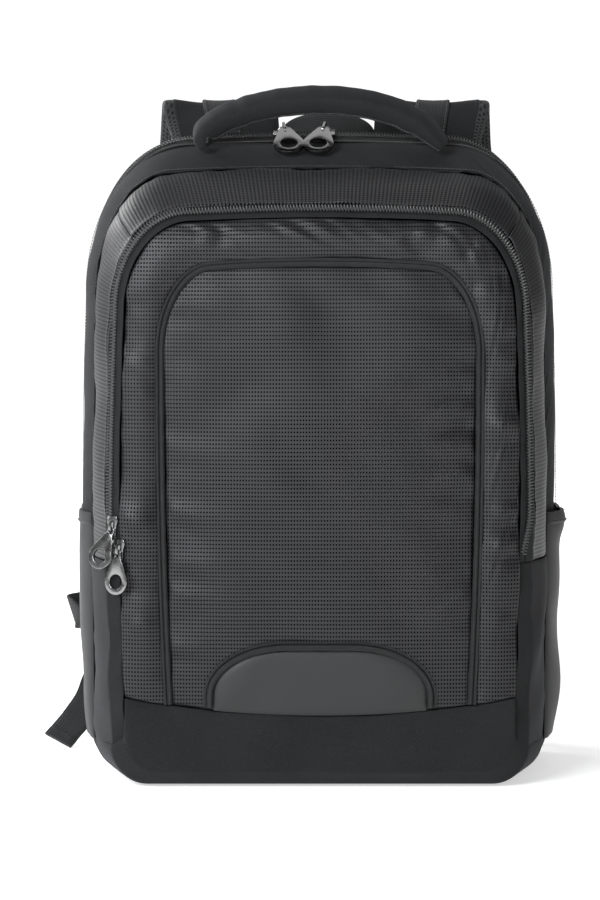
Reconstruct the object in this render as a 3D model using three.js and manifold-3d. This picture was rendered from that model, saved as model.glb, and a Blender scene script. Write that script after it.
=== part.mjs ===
// A laptop backpack, zipped shut and standing on its base. Millimetres, +Z up, the front faces -Y,
// and the origin is on the floor under the middle of the main compartment.
import * as THREE from "three";
import { mergeVertices } from "three/addons/utils/BufferGeometryUtils.js";
import Module from "manifold-3d";

const wasm = await Module();
wasm.setup();

// Driving sizes of the bag.
const bagWidth = 346;
const bagHeight = 457;
const bagDepth = 160;
const backSeamY = 80;
const topCrown = 2.5;

// Cloth, foam and seams.
const nylonWall = 1.6;
const pocketWall = 1.4;
const dividerWall = 1.2;
const backFoam = 8;
const seamGap = 0.3;

// The front face and the base.
const pocketDome = 8;
const cornerPanelTop = 159;
const bandSeamMiddle = 51.6;
const bandSeamEdge = 64;
const bandBulge = 3;
const baseGussetTop = 160;

// Piping and the smooth patch above the band.
const pipingRadius = 2.1;
const patchHalfWidth = 74.5;
const patchTop = 97.5;
const patchCornerX = 52;
const patchCornerZ = 32;
const patchWall = 1.4;

// Zips.
const zipTapeWidth = 11;
const zipTapeWall = 1;
const zipTapeRecess = 0.6;
const zipCoilWidth = 5;
const zipCoilHeight = 1.8;
const zipCoilRing = 3.32;
const zipEndRing = 3.84;
const zipEndBend = 34;

// Side pockets.
const sidePocketTop = 188;
const sidePocketFoot = 8;
const sidePocketMouth = 3;
const sidePocketBelly = 6.5;
const hemHeight = 9;
const hemWall = 0.9;

// The padded handle over the top zip.
const handleSpan = 176;
const handleRise = 33;
const handleHeight = 18;
const handleDepth = 24;
const handleTabWall = 4.5;

// The webbing loop behind the top edge.
const webbingWidth = 25;
const webbingWall = 1.8;
const hangLoopSpan = 62;
const hangLoopRise = 26;
const strapShift = 6.5;

// Shoulder straps, their anchor cover and their adjusters.
const strapWidth = 82;
const strapFoam = 11;
const strapArch = 50;
const anchorWidth = 214;
const anchorHeight = 34;
const anchorWall = 3;
const buckleWidth = 34;
const buckleLength = 30;
const buckleWall = 4.2;
const buckleBar = 3.4;
const buckleReach = 3;
const tabWidth = 46;
const tabHeight = 40;
const tabWall = 2.4;
const hemFoldLength = 8;
const hemFoldWall = 4.5;

// Zip sliders, links and pulls.
const sliderWidth = 9;
const sliderLength = 14;
const sliderWall = 2.2;
const bridgeWidth = 2;
const bridgeLength = 8;
const bridgeRise = 3.8;
const bridgeWall = 1.1;
const linkWidth = 5.8;
const linkLength = 7;
const linkWire = 1.3;
const pullLength = 26.5;
const pullHead = 6.8;
const pullRing = 9.2;
const pullHole = 5.4;
const pullWall = 2.4;

const halfWidth = bagWidth / 2;
const { lerp, clamp, smoothstep } = THREE.MathUtils;
const vec = (x, y, z) => new THREE.Vector3(x, y, z);

// Each row is a loop round the bag, from the back seam forwards to the piping of the front pocket.
// footDepth and topDepth are shares of bagDepth in front of the back seam, at the floor and at the top.
// footWidth, width, bow and cornerX are shares of halfWidth. height, cornerZ, foot and lift are shares of
// bagHeight. puff is how far the cloth swells between this loop and the next, as a share of bagDepth.
const loops = [
  { name: "back", footDepth: 0, topDepth: 0, footWidth: 0.935, width: 0.952, bow: 0.022,
    height: 0.987, cornerX: 0.44, cornerZ: 0.226, foot: 0.056, lift: 0, puff: 0.016 },
  { name: "topZip", footDepth: 0.3, topDepth: 0.3, footWidth: 0.945, width: 0.966, bow: 0.03,
    height: 1, cornerX: 0.44, cornerZ: 0.233, foot: 0.056, lift: 0, puff: 0.026 },
  { name: "seam", footDepth: 0.5625, topDepth: 0.5625, footWidth: 0.936, width: 0.925, bow: 0.008,
    height: 0.951, cornerX: 0.324, cornerZ: 0.2, foot: 0.056, lift: 0, puff: 0.024 },
  { name: "frontZip", footDepth: 0.965, topDepth: 0.86, footWidth: 0.846, width: 0.816, bow: 0.012,
    height: 0.895, cornerX: 0.289, cornerZ: 0.155, foot: 0.056, lift: 0.004, puff: 0 },
  { name: "face", footDepth: 1.012, topDepth: 0.882, footWidth: 0.79, width: 0.757, bow: 0.012,
    height: 0.874, cornerX: 0.254, cornerZ: 0.137, foot: 0.05, lift: 0.026, puff: 0.026 },
  { name: "piping", footDepth: 1.02, topDepth: 0.895, footWidth: 0.6, width: 0.642, bow: 0.012,
    height: 0.8046, cornerX: 0.214, cornerZ: 0.131, foot: 0.03, lift: 0.037, puff: 0 },
];
const loopIndex = (name) => loops.findIndex((l) => l.name === name);
const backLoop = loopIndex("back");
const topZipLoop = loopIndex("topZip");
const seamLoop = loopIndex("seam");
const frontZipLoop = loopIndex("frontZip");
const faceLoop = loopIndex("face");
const pipingLoop = loopIndex("piping");

// A loop's numbered stretches: 0 to 1 is half the base, then the foot corner, the side, the top corner,
// and the top from 4 to 5. The other half mirrors the first, so the whole loop runs from 0 to 9.
const footCorner = 1;
const sideStart = 2;
const topCorner = 3;
const topStart = 4;
const wholeLoop = 9;

const loopFoot = (l) => (l.lift + l.foot) * bagHeight;
const loopShoulder = (l) => (l.height - l.cornerZ) * bagHeight - topCrown;

// Half the width of a loop's side at a share of the way up it.
function sideHalfWidth(l, share) {
  return halfWidth * (lerp(l.footWidth, l.width, share) + l.bow * Math.sin(Math.PI * share));
}

// The x and z of a loop on its left half, for s from 0 to 4.5.
function leftHalf(l, s) {
  const radius = l.foot * bagHeight;
  const lift = l.lift * bagHeight;
  const flat = sideHalfWidth(l, 0) - radius;
  if (s <= footCorner) return [-flat * s, lift];
  if (s <= sideStart) {
    const a = ((s - footCorner) * Math.PI) / 2;
    return [-flat - radius * Math.sin(a), lift + radius * (1 - Math.cos(a))];
  }
  if (s <= topCorner) {
    const share = s - sideStart;
    return [-sideHalfWidth(l, share), lerp(loopFoot(l), loopShoulder(l), share)];
  }
  const rx = l.cornerX * halfWidth;
  const rz = l.cornerZ * bagHeight;
  const inner = sideHalfWidth(l, 1) - rx;
  if (s <= topStart) {
    const a = ((s - topCorner) * Math.PI) / 2;
    return [-inner - rx * Math.cos(a), loopShoulder(l) + rz * Math.sin(a)];
  }
  const across = 1 - 2 * (s - topStart);
  return [-inner * across, l.height * bagHeight - topCrown * across * across];
}

// A point of a loop, with s wrapped round the whole loop.
function loopPoint(l, s) {
  const t = ((s % wholeLoop) + wholeLoop) % wholeLoop;
  const mirrored = t > wholeLoop / 2;
  const [x, z] = leftHalf(l, mirrored ? wholeLoop - t : t);
  const depth = lerp(l.footDepth, l.topDepth, z / bagHeight);
  return vec(mirrored ? -x : x, backSeamY - bagDepth * depth, z);
}

// The stretched cloth between two loops, before it swells. ring counts loops and may lie between two.
function tautPoint(s, ring) {
  const k = clamp(Math.floor(ring), 0, loops.length - 2);
  return loopPoint(loops[k], s).lerp(loopPoint(loops[k + 1], s), ring - k);
}

const stepAlong = 0.02;
const stepAcross = 0.03;
const seamReach = 0.05;

// The outward normal of a surface given as a function of s and ring, kept inside the span lowRing to highRing.
function normalOf(surface, s, ring, lowRing, highRing) {
  const along = surface(s + stepAlong, ring).sub(surface(s - stepAlong, ring));
  const before = surface(s, Math.max(ring - stepAcross, lowRing));
  const after = surface(s, Math.min(ring + stepAcross, highRing));
  return after.sub(before).cross(along).normalize();
}

// The base lies flat, so the swelling fades out towards the foot of the loop.
function swellShare(s) {
  const t = ((s % wholeLoop) + wholeLoop) % wholeLoop;
  return smoothstep(Math.min(t, wholeLoop - t), footCorner + 0.3, sideStart + 0.4);
}

// A point on the outside of the bag.
function bodyPoint(s, ring) {
  const k = clamp(Math.floor(ring), 0, loops.length - 2);
  const swell = loops[k].puff * bagDepth * Math.sin(Math.PI * (ring - k)) * swellShare(s);
  const point = tautPoint(s, ring);
  if (swell < 1e-6) return point;
  return point.addScaledVector(normalOf(tautPoint, s, ring, k, k + 1), swell);
}

// The bag's normal. At a loop it is the mean of both sides, so that two walls meet there in a mitre.
function bodyNormal(s, ring) {
  const k = Math.round(ring);
  const inner = k > 0 && k < loops.length - 1;
  if (!inner || Math.abs(ring - k) > seamReach) return normalOf(bodyPoint, s, ring, 0, loops.length - 1);
  const behind = normalOf(bodyPoint, s, k - stepAcross, k - 1, k);
  return behind.add(normalOf(bodyPoint, s, k + stepAcross, k, k + 1)).normalize();
}

// The s of a height on the left side, for any ring.
function sideAt(z, ring) {
  const k = clamp(Math.floor(ring), 0, loops.length - 2);
  const foot = lerp(loopFoot(loops[k]), loopFoot(loops[k + 1]), ring - k);
  const shoulder = lerp(loopShoulder(loops[k]), loopShoulder(loops[k + 1]), ring - k);
  return sideStart + (z - foot) / (shoulder - foot);
}

// A length across the cloth as a share of the span that starts at loop k.
function shareOfSpan(length, k) {
  const a = loopPoint(loops[k], topCorner);
  const b = loopPoint(loops[k + 1], topCorner);
  return length / Math.hypot(a.x - b.x, a.y - b.y);
}

// A closed solid through rings of equal, even count, whose points pair up first with last.
function loft(rings) {
  const count = rings[0].length;
  const positions = rings.flatMap((ring) => ring.flatMap((p) => [p.x, p.y, p.z]));
  const faces = [];
  const quad = (a, b, c, d) => faces.push(a, b, c, a, c, d);
  for (let j = 0; j < rings.length - 1; j++) {
    for (let i = 0; i < count; i++) {
      const next = (i + 1) % count;
      quad(j * count + i, j * count + next, (j + 1) * count + next, (j + 1) * count + i);
    }
  }
  const last = (rings.length - 1) * count;
  for (let i = 0; i < count / 2 - 1; i++) {
    quad(count - 1 - i, count - 2 - i, i + 1, i);
    quad(last + i, last + i + 1, last + count - 2 - i, last + count - 1 - i);
  }
  const geometry = new THREE.BufferGeometry();
  geometry.setAttribute("position", new THREE.Float32BufferAttribute(positions, 3));
  geometry.setIndex(signedVolume(positions, faces) < 0 ? faces.reverse() : faces);
  return geometry;
}

function signedVolume(positions, faces) {
  const at = (i) => vec(positions[3 * i], positions[3 * i + 1], positions[3 * i + 2]);
  let six = 0;
  for (let i = 0; i < faces.length; i += 3) {
    six += at(faces[i]).dot(at(faces[i + 1]).cross(at(faces[i + 2])));
  }
  return six / 6;
}

// A row of values from a to b in equal steps.
const steps = (a, b, n) => Array.from({ length: n + 1 }, (_, i) => lerp(a, b, i / n));

const loopMarks = [
  ...steps(0, footCorner, 4), ...steps(footCorner, sideStart, 3), ...steps(sideStart, topCorner, 5),
  ...steps(topCorner, topStart, 6), ...steps(topStart, topStart + 1, 4),
  ...steps(topStart + 1, topStart + 2, 6), ...steps(topStart + 2, topStart + 3, 5),
  ...steps(topStart + 3, topStart + 4, 3), ...steps(topStart + 4, wholeLoop, 4),
];

// The usual marks of a loop between two values of s, with both ends. s may start below zero, on the right half.
function marksBetween(from, to) {
  const marks = [...loopMarks.map((m) => m - wholeLoop), ...loopMarks];
  const margin = 0.06;
  const inside = marks.filter((m, i) => m > from + margin && m < to - margin && marks.indexOf(m) === i);
  return [from, ...inside, to];
}

// A sheet of cloth on a surface: outer points from place(u, v), thickened inwards along normal(u, v).
function sheet(place, normal, alongs, acrosses, wall) {
  return loft(alongs.map((u) => {
    const outer = acrosses.map((v) => place(u, v));
    const inner = acrosses.map((v, i) => outer[i].clone().addScaledVector(normal(u, v), -wall));
    return [...outer, ...inner.reverse()];
  }));
}

// A panel of the bag between two rings. low and high give its ends at each ring, and sink lowers it.
// Its other marks are shared with its neighbours, so that their facets meet.
function bodyPanel(rings, low, high, wall = nylonWall, sink = 0) {
  const marks = marksBetween(Math.max(...rings.map(low)), Math.min(...rings.map(high)));
  const last = marks.length - 1;
  const along = (i, ring) => (i === 0 ? low(ring) : i === last ? high(ring) : marks[i]);
  const normal = (i, ring) => bodyNormal(along(i, ring), ring);
  const place = (i, ring) => bodyPoint(along(i, ring), ring).addScaledVector(normal(i, ring), -sink);
  return sheet(place, normal, marks.map((_, i) => i), rings, wall);
}

const gapAcross = (k) => shareOfSpan(seamGap * 0.8, k);
const gapAlong = seamGap / 2 / (loopShoulder(loops[seamLoop]) - loopFoot(loops[seamLoop]));
const gapRound = seamGap / ((loopFoot(loops[seamLoop]) * Math.PI) / 2);
const mirrorS = (s) => wholeLoop - s;

// The half width of the tape of a zip, as a share of the span behind and in front of its loop.
const tapeBehindTop = shareOfSpan(zipTapeWidth / 2, backLoop);
const tapeBeforeTop = shareOfSpan(zipTapeWidth / 2, topZipLoop);

// The top zip ends just inside the mouths of the side pockets.
const upperLow = (ring) => sideAt(baseGussetTop, ring) + gapAlong;
const upperHigh = (ring) => mirrorS(upperLow(ring));

function topZipPanels() {
  const rear = steps(backLoop, topZipLoop - tapeBehindTop - gapAcross(backLoop), 2);
  const tape = [topZipLoop - tapeBehindTop, topZipLoop, topZipLoop + tapeBeforeTop];
  const front = steps(topZipLoop + tapeBeforeTop + gapAcross(topZipLoop), seamLoop - gapAcross(topZipLoop), 3);
  return {
    main_gusset_rear: bodyPanel(rear, upperLow, upperHigh),
    main_zip_tape: bodyPanel(tape, upperLow, upperHigh, zipTapeWall, zipTapeRecess),
    main_gusset_front: bodyPanel(front, upperLow, upperHigh),
  };
}

function baseGusset() {
  const high = (ring) => sideAt(baseGussetTop, ring) - gapAlong;
  const rings = steps(backLoop, seamLoop - gapAcross(topZipLoop), 4);
  return bodyPanel(rings, (ring) => -high(ring), high);
}

// The seams of the front gusset run out from the zip to the corners of the bag.
const cornerSeam = (topCorner + topStart) / 2;
const frontPanelLow = (ring) => sideAt(cornerPanelTop, ring) + gapAlong;

function frontGussets() {
  const rings = steps(seamLoop + gapAcross(seamLoop), frontZipLoop - gapAcross(seamLoop), 3);
  const sideHigh = () => cornerSeam - gapAlong;
  const topLow = () => cornerSeam + gapAlong;
  return {
    front_gusset_left: bodyPanel(rings, frontPanelLow, sideHigh),
    front_gusset_top: bodyPanel(rings, topLow, () => mirrorS(topLow())),
    front_gusset_right: bodyPanel(rings, () => mirrorS(sideHigh()), (ring) => mirrorS(frontPanelLow(ring))),
  };
}

function frontZipTape() {
  const rings = [frontZipLoop + gapAcross(frontZipLoop), faceLoop - gapAcross(frontZipLoop)];
  const high = (ring) => mirrorS(frontPanelLow(ring));
  return bodyPanel(rings, frontPanelLow, high, zipTapeWall);
}

function cornerPanel(mirrored) {
  const rings = [
    ...steps(seamLoop + gapAcross(seamLoop), frontZipLoop, 3),
    faceLoop - gapAcross(frontZipLoop),
  ];
  const low = (ring) => sideStart + gapAlong;
  const high = (ring) => sideAt(cornerPanelTop, ring) - gapAlong;
  if (!mirrored) return bodyPanel(rings, low, high);
  return bodyPanel(rings, (ring) => mirrorS(high(ring)), (ring) => mirrorS(low(ring)));
}

// The height of the seam of the bottom band, which rises towards the sides.
function bandSeam(x) {
  const edge = sideHalfWidth(loops[faceLoop], 0);
  return lerp(bandSeamMiddle, bandSeamEdge, (x / edge) ** 2);
}

function surroundPanel() {
  const channel = shareOfSpan(pipingRadius + seamGap, faceLoop);
  const rings = steps(faceLoop + gapAcross(faceLoop), pipingLoop - channel, 3);
  const low = (ring) => {
    const x = lerp(sideHalfWidth(loops[faceLoop], 0), sideHalfWidth(loops[pipingLoop], 0), ring - faceLoop);
    return sideAt(bandSeam(x) + 2 * seamGap, ring);
  };
  return bodyPanel(rings, low, (ring) => mirrorS(low(ring)));
}

// Half the width of an arch at a height. The arch has straight sides and elliptical top corners.
function archHalfWidth(arch, z) {
  if (z <= arch.shoulder) return lerp(arch.footHalf, arch.half, (z - arch.foot) / (arch.shoulder - arch.foot));
  const up = clamp((z - arch.shoulder) / arch.cornerZ, 0, 1);
  return arch.half - arch.cornerX + arch.cornerX * Math.sqrt(1 - up * up);
}

// The arch inside the piping loop, drawn in by a margin.
function pocketArch(margin) {
  const l = loops[pipingLoop];
  return {
    foot: bandSeamMiddle,
    footHalf: sideHalfWidth(l, 0.12) - margin,
    half: sideHalfWidth(l, 1) - margin,
    shoulder: loopShoulder(l),
    cornerX: l.cornerX * halfWidth - margin,
    cornerZ: l.cornerZ * bagHeight - margin,
  };
}

const archTop = (arch) => arch.shoulder + arch.cornerZ;

// The y of the pocket's outer surface: the face's lean, and a dome that is flat along the piping and the band.
function faceY(x, z) {
  const l = loops[pipingLoop];
  const arch = pocketArch(0);
  const across = clamp(Math.abs(x) / archHalfWidth(arch, z), 0, 1);
  const up = clamp((z - arch.foot) / (archTop(arch) - arch.foot), 0, 1);
  const dome = (1 - across ** 3) * Math.sin(Math.PI * up) ** 0.6;
  const depth = lerp(l.footDepth, l.topDepth, z / bagHeight);
  return backSeamY - bagDepth * depth - pocketDome * dome;
}

function faceNormal(x, z) {
  const d = 1.5;
  const slopeX = (faceY(x + d, z) - faceY(x - d, z)) / (2 * d);
  const slopeZ = (faceY(x, z + d) - faceY(x, z - d)) / (2 * d);
  return vec(slopeX, -1, slopeZ).normalize();
}

// A sheet on the face inside an arch, standing proud of the pocket's surface by stand.
function archSheet(arch, rows, columns, wall, stand, crown) {
  const cornerShare = 0.55;
  const upAt = (v) => (v <= cornerShare
    ? lerp(arch.foot, arch.shoulder, v / cornerShare)
    : arch.shoulder + arch.cornerZ * Math.sin(((v - cornerShare) / (1 - cornerShare)) * (Math.PI / 2)));
  const flatPlace = (u, v) => {
    const z = upAt(v);
    const x = u * archHalfWidth(arch, z);
    const seam = v === 0 ? bandSeam(x) + seamGap - z : 0;
    return [x, z + seam + crown * (1 - u * u) * v * v];
  };
  const place = (v, u) => {
    const [x, z] = flatPlace(u, v);
    return vec(x, faceY(x, z), z).addScaledVector(faceNormal(x, z), stand);
  };
  const normal = (v, u) => faceNormal(...flatPlace(u, v));
  return sheet(place, normal, steps(0, 1, rows), steps(-1, 1, columns), wall);
}

const patchArch = (margin) => ({
  foot: bandSeamMiddle,
  footHalf: patchHalfWidth - margin,
  half: patchHalfWidth - margin,
  shoulder: patchTop - patchCornerZ,
  cornerX: patchCornerX - margin,
  cornerZ: patchCornerZ - margin,
});

// A section with an even count of sides, whose points pair up across the first axis.
function roundSection(rx, ry, sides) {
  return Array.from({ length: sides }, (_, i) => {
    const a = ((i + 0.5) * 2 * Math.PI) / sides;
    return [rx * Math.cos(a), ry * Math.sin(a)];
  });
}

const flatSection = (width, wall) => [
  [width / 2, wall / 2], [-width / 2, wall / 2], [-width / 2, -wall / 2], [width / 2, -wall / 2],
];

// A flat section with rolled edges, for foam under cloth. Its middle lane carries the webbing.
function padSection(width, wall, lane = width / 4) {
  const bevel = wall * 0.32;
  const w = width / 2;
  const t = wall / 2;
  const upper = [[w, t - bevel], [w - bevel, t], [lane, t], [-lane, t], [bevel - w, t], [-w, t - bevel]];
  return [...upper, ...upper.map(([x, y]) => [x, -y]).reverse()];
}

// Sweeps sections along frames of a point, a direction across and one up.
function sweep(frames, sectionAt) {
  return loft(frames.map((f, i) => sectionAt(i / (frames.length - 1)).map(([a, b]) =>
    f.point.clone().addScaledVector(f.across, a).addScaledVector(f.up, b))));
}

// Frames along points, each with a wanted direction across.
function framesAlong(points, acrosses) {
  return points.map((point, i) => {
    const before = points[Math.max(i - 1, 0)];
    const after = points[Math.min(i + 1, points.length - 1)];
    const along = after.clone().sub(before).normalize();
    const across = acrosses[i].clone().addScaledVector(along, -acrosses[i].dot(along)).normalize();
    return { point, across, up: across.clone().cross(along).normalize() };
  });
}

// A tube that follows the bag's surface at a distance above it.
function bodyTube(marks, ringAt, rx, ry, height, sides) {
  const points = marks.map((s) => bodyPoint(s, ringAt(s)).addScaledVector(bodyNormal(s, ringAt(s)), height));
  const normals = marks.map((s) => bodyNormal(s, ringAt(s)));
  const frames = framesAlong(points, normals);
  return sweep(frames, () => roundSection(ry, rx, sides));
}

function pipings() {
  const foot = bandSeam(sideHalfWidth(loops[pipingLoop], 0)) + 3 * seamGap;
  const low = sideAt(foot, pipingLoop);
  const marks = marksBetween(low, mirrorS(low));
  const archPath = steps(0, 1, 20).map((v) => patchEdge(v));
  const frames = framesAlong(archPath, archPath.map((p) => faceNormal(p.x, p.z)));
  return {
    pocket_piping: bodyTube(marks, () => pipingLoop, pipingRadius, pipingRadius, 0, 8),
    patch_piping: sweep(frames, () => roundSection(pipingRadius, pipingRadius, 8)),
  };
}

// The centreline of the piping round the smooth patch, from its left foot to its right.
function patchEdge(v) {
  const arch = patchArch(-pipingRadius - 2 * seamGap);
  const foot = bandSeam(arch.half) + pipingRadius + seamGap;
  const side = 0.12;
  const t = Math.min(v, 1 - v) * 2;
  const corner = 0.62;
  let x = arch.half;
  let z = lerp(foot, arch.shoulder, Math.min(t / side, 1));
  if (t > side) {
    const a = (Math.min((t - side) / (corner - side), 1) * Math.PI) / 2;
    x = arch.half - arch.cornerX * (1 - Math.cos(a));
    z = arch.shoulder + arch.cornerZ * Math.sin(a);
  }
  if (t > corner) x = (arch.half - arch.cornerX) * (1 - (t - corner) / (1 - corner));
  const signedX = v < 0.5 ? -x : x;
  const stand = pipingRadius + seamGap;
  return vec(signedX, faceY(x, z), z).addScaledVector(faceNormal(signedX, z), stand);
}

// The band across the foot of the front face, which turns under the bag to the main compartment.
function bottomBand() {
  const trim = 1 - gapRound;
  const columns = marksBetween(-sideStart, sideStart).map((sigma) => sigma * trim);
  const width = sideHalfWidth(loops[faceLoop], 0) - seamGap;
  const topX = (sigma) => (-sigma / sideStart) * width;
  const facePoint = (share, sigma) => {
    const x = topX(sigma);
    const z = bandSeam(x);
    const point = vec(x, faceY(x, z), z).lerp(loopPoint(loops[faceLoop], sigma), share);
    point.y -= bandBulge * Math.sin(Math.PI * share);
    return point;
  };
  const faceShares = [0, 0.35, 0.7];
  const underRings = [faceLoop, frontZipLoop, (frontZipLoop + seamLoop) / 2, seamLoop + gapAcross(seamLoop)];
  const rows = [
    ...faceShares.map((share) => (sigma) => facePoint(share, sigma)),
    ...underRings.map((ring) => (sigma) => bodyPoint(sigma, ring)),
  ];
  const edgeNormal = (j, sigma) => {
    const side = Math.sign(sigma);
    return bodyNormal(side * sideAt(rows[j](sigma).z, faceLoop), faceLoop);
  };
  const normal = (j, i) => {
    const sigma = columns[i];
    if (j >= faceShares.length) return bodyNormal(sigma, underRings[j - faceShares.length]);
    if (i === 0 || i === columns.length - 1) return edgeNormal(j, sigma);
    if (j === 0) return faceNormal(topX(sigma), bandSeam(topX(sigma)));
    const down = rows[j + 1](sigma).sub(rows[j - 1](sigma));
    return rows[j](columns[i + 1]).sub(rows[j](columns[i - 1])).cross(down).normalize();
  };
  return sheet((j, i) => rows[j](columns[i]), normal, rows.map((_, j) => j), columns.map((_, i) => i), nylonWall);
}

// How far the side pocket stands off the bag, by height and depth.
function pocketStand(up, across) {
  const belly = Math.sin(Math.PI * clamp(up * 1.7, 0, 1)) * Math.max(0, 1 - up * 1.2);
  const mouth = smoothstep(up, 0, 0.55);
  const swell = sidePocketBelly * belly + sidePocketMouth * mouth;
  return pocketWall + seamGap + swell * Math.sin(Math.PI * across) ** 0.7;
}

// A side pocket or its hem, over the base gusset from the back seam to the front seam.
function sidePocket(mirrored, lowZ, highZ, rows, wall, extra) {
  const rearRing = backLoop + gapAcross(backLoop);
  const frontRing = seamLoop - gapAcross(topZipLoop);
  const place = (z, across) => {
    const ring = lerp(rearRing, frontRing, across);
    const left = sideAt(z, ring);
    const s = mirrored ? mirrorS(left) : left;
    const up = (z - sidePocketFoot) / (sidePocketTop - sidePocketFoot);
    return bodyPoint(s, ring).addScaledVector(bodyNormal(s, ring), pocketStand(up, across) + extra);
  };
  const normal = (z, across) => {
    const ring = lerp(rearRing, frontRing, across);
    const left = sideAt(z, ring);
    return bodyNormal(mirrored ? mirrorS(left) : left, ring);
  };
  return sheet(place, normal, steps(lowZ, highZ, rows), steps(0, 1, 6), wall);
}

// The loop of a ring as a flat closed outline, drawn in by a margin and set at a depth.
function outlineRing(l, margin, y) {
  const half = [...steps(0.35, footCorner, 1), ...steps(footCorner, sideStart, 4).slice(1),
    ...steps(sideStart, topCorner, 5).slice(1), ...steps(topCorner, topStart, 6).slice(1),
    ...steps(topStart, topStart + 0.45, 2).slice(1)];
  const centreZ = (l.height * bagHeight) / 2;
  const scaleX = 1 - margin / sideHalfWidth(l, 0.5);
  const scaleZ = 1 - margin / centreZ;
  const place = (s) => {
    const p = loopPoint(l, s);
    return vec(p.x * scaleX, y, centreZ + (p.z - centreZ) * scaleZ);
  };
  return [...half.map(place), ...half.map(mirrorS).reverse().map(place)];
}

function backPanel() {
  const l = loops[backLoop];
  const face = backSeamY + seamGap;
  const roll = backFoam * 0.4;
  return loft([
    outlineRing(l, 0, face),
    outlineRing(l, 0, face + backFoam - roll),
    outlineRing(l, roll, face + backFoam),
  ]);
}

function dividerPanel() {
  const l = loops[seamLoop];
  const margin = nylonWall + seamGap * 2;
  const y = backSeamY - bagDepth * l.footDepth;
  return loft([outlineRing(l, margin, y), outlineRing(l, margin, y + dividerWall)]);
}

// The handle's centreline and section, as shares of half its span, of its rise and of its thickness.
// Its flat ends are sewn to the gusset in front of the top zip.
const handleRows = [
  { across: -0.965, up: 0, height: 0.25, depth: 1 },
  { across: -0.975, up: 0.16, height: 0.28, depth: 1 },
  { across: -0.93, up: 0.34, height: 0.7, depth: 0.96 },
  { across: -0.8, up: 0.55, height: 0.94, depth: 0.98 },
  { across: -0.55, up: 0.8, height: 1, depth: 1 },
  { across: -0.28, up: 0.95, height: 1, depth: 1 },
  { across: 0, up: 1, height: 1, depth: 1 },
];

const handleRing = topZipLoop + 0.52;

// The handle stands on the strip in front of the top zip and leans forward with it.
function handlePath() {
  const all = [...handleRows, ...handleRows.slice(0, -1).reverse().map((r) => ({ ...r, across: -r.across }))];
  const lean = bodyNormal(wholeLoop / 2, handleRing);
  const foot = bodyPoint(topStart + 0.05, handleRing);
  foot.z += (6 * seamGap + handleTabWall / 2) / lean.z;
  return all.map((r) => ({
    point: vec((r.across * handleSpan) / 2, foot.y, foot.z + r.up * handleRise),
    height: r.height * handleHeight,
    depth: r.depth * handleDepth,
  }));
}

function carryHandle() {
  const rows = handlePath();
  const lean = bodyNormal(wholeLoop / 2, handleRing);
  const curve = new THREE.CatmullRomCurve3(rows.map((r) => r.point));
  const sizes = new THREE.CatmullRomCurve3(rows.map((r) => vec(r.height, r.depth, 0)));
  const count = 26;
  const points = steps(0, 1, count).map((t) => curve.getPoint(t));
  const frames = framesAlong(points, points.map(() => vec(0, lean.z, -lean.y)));
  return sweep(frames, (t) => {
    const size = sizes.getPoint(t);
    return padSection(size.y, size.x);
  });
}

function hangLoop() {
  const lean = vec(0, 0.66, 0.75).normalize();
  const foot = vec(strapShift, backSeamY + backFoam + seamGap + webbingWidth * 0.2,
    loops[backLoop].height * bagHeight + seamGap);
  const points = steps(-1, 1, 12).map((u) => {
    const a = (u * Math.PI) / 2;
    return vec(foot.x + (Math.sin(a) * hangLoopSpan) / 2, foot.y, foot.z + hangLoopRise * Math.cos(a) ** 0.8);
  });
  return sweep(framesAlong(points, points.map(() => lean)), () => flatSection(webbingWidth, webbingWall));
}

// The strap's centreline: across as a share of halfWidth, back of strapArch behind the foam, up of bagHeight.
// turn swings its width away from X, and width is a share of strapWidth.
const strapRows = [
  { across: 0.425, back: 0.112, up: 0.9035, turn: 0, width: 0.84 },
  { across: 0.425, back: 0.118, up: 0.945, turn: 0, width: 0.88 },
  { across: 0.43, back: 0.16, up: 0.99, turn: 0.02, width: 0.96 },
  { across: 0.445, back: 0.3, up: 1.03, turn: 0.06, width: 1 },
  { across: 0.465, back: 0.55, up: 1.046, turn: 0.1, width: 1.02 },
  { across: 0.48, back: 0.83, up: 1.024, turn: 0.12, width: 1.02 },
  { across: 0.5, back: 0.98, up: 0.965, turn: 0.12, width: 1 },
  { across: 0.545, back: 1, up: 0.88, turn: 0.1, width: 0.97 },
  { across: 0.62, back: 0.98, up: 0.72, turn: 0.08, width: 0.88 },
  { across: 0.7, back: 0.92, up: 0.56, turn: 0.06, width: 0.78 },
  { across: 0.77, back: 0.78, up: 0.42, turn: 0.03, width: 0.72 },
  { across: 0.81, back: 0.66, up: 0.345, turn: 0.02, width: 0.7 },
];
const strapSteps = 40;

// The frames of a strap on one side, with its width at each.
function strapFrames(side) {
  const base = backSeamY + seamGap + backFoam;
  const curve = new THREE.CatmullRomCurve3(strapRows.map((r) =>
    vec(side * r.across * halfWidth + strapShift * (1.5 - r.across * 1.4), base + r.back * strapArch,
      r.up * bagHeight)));
  const data = new THREE.CatmullRomCurve3(strapRows.map((r) => vec(r.turn, r.width, 0)));
  const marks = steps(0, 1, strapSteps);
  const points = marks.map((t) => curve.getPoint(t));
  const turns = marks.map((t) => data.getPoint(t));
  const frames = framesAlong(points, turns.map((d) => vec(1, side * d.x * 2, 0)));
  return frames.map((f, i) => ({ ...f, width: turns[i].y * strapWidth }));
}

function shoulderStrap(side) {
  const frames = strapFrames(side);
  return sweep(frames, (t) => padSection(frames[Math.round(t * strapSteps)].width,
    strapFoam, webbingWidth / 2));
}

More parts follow.
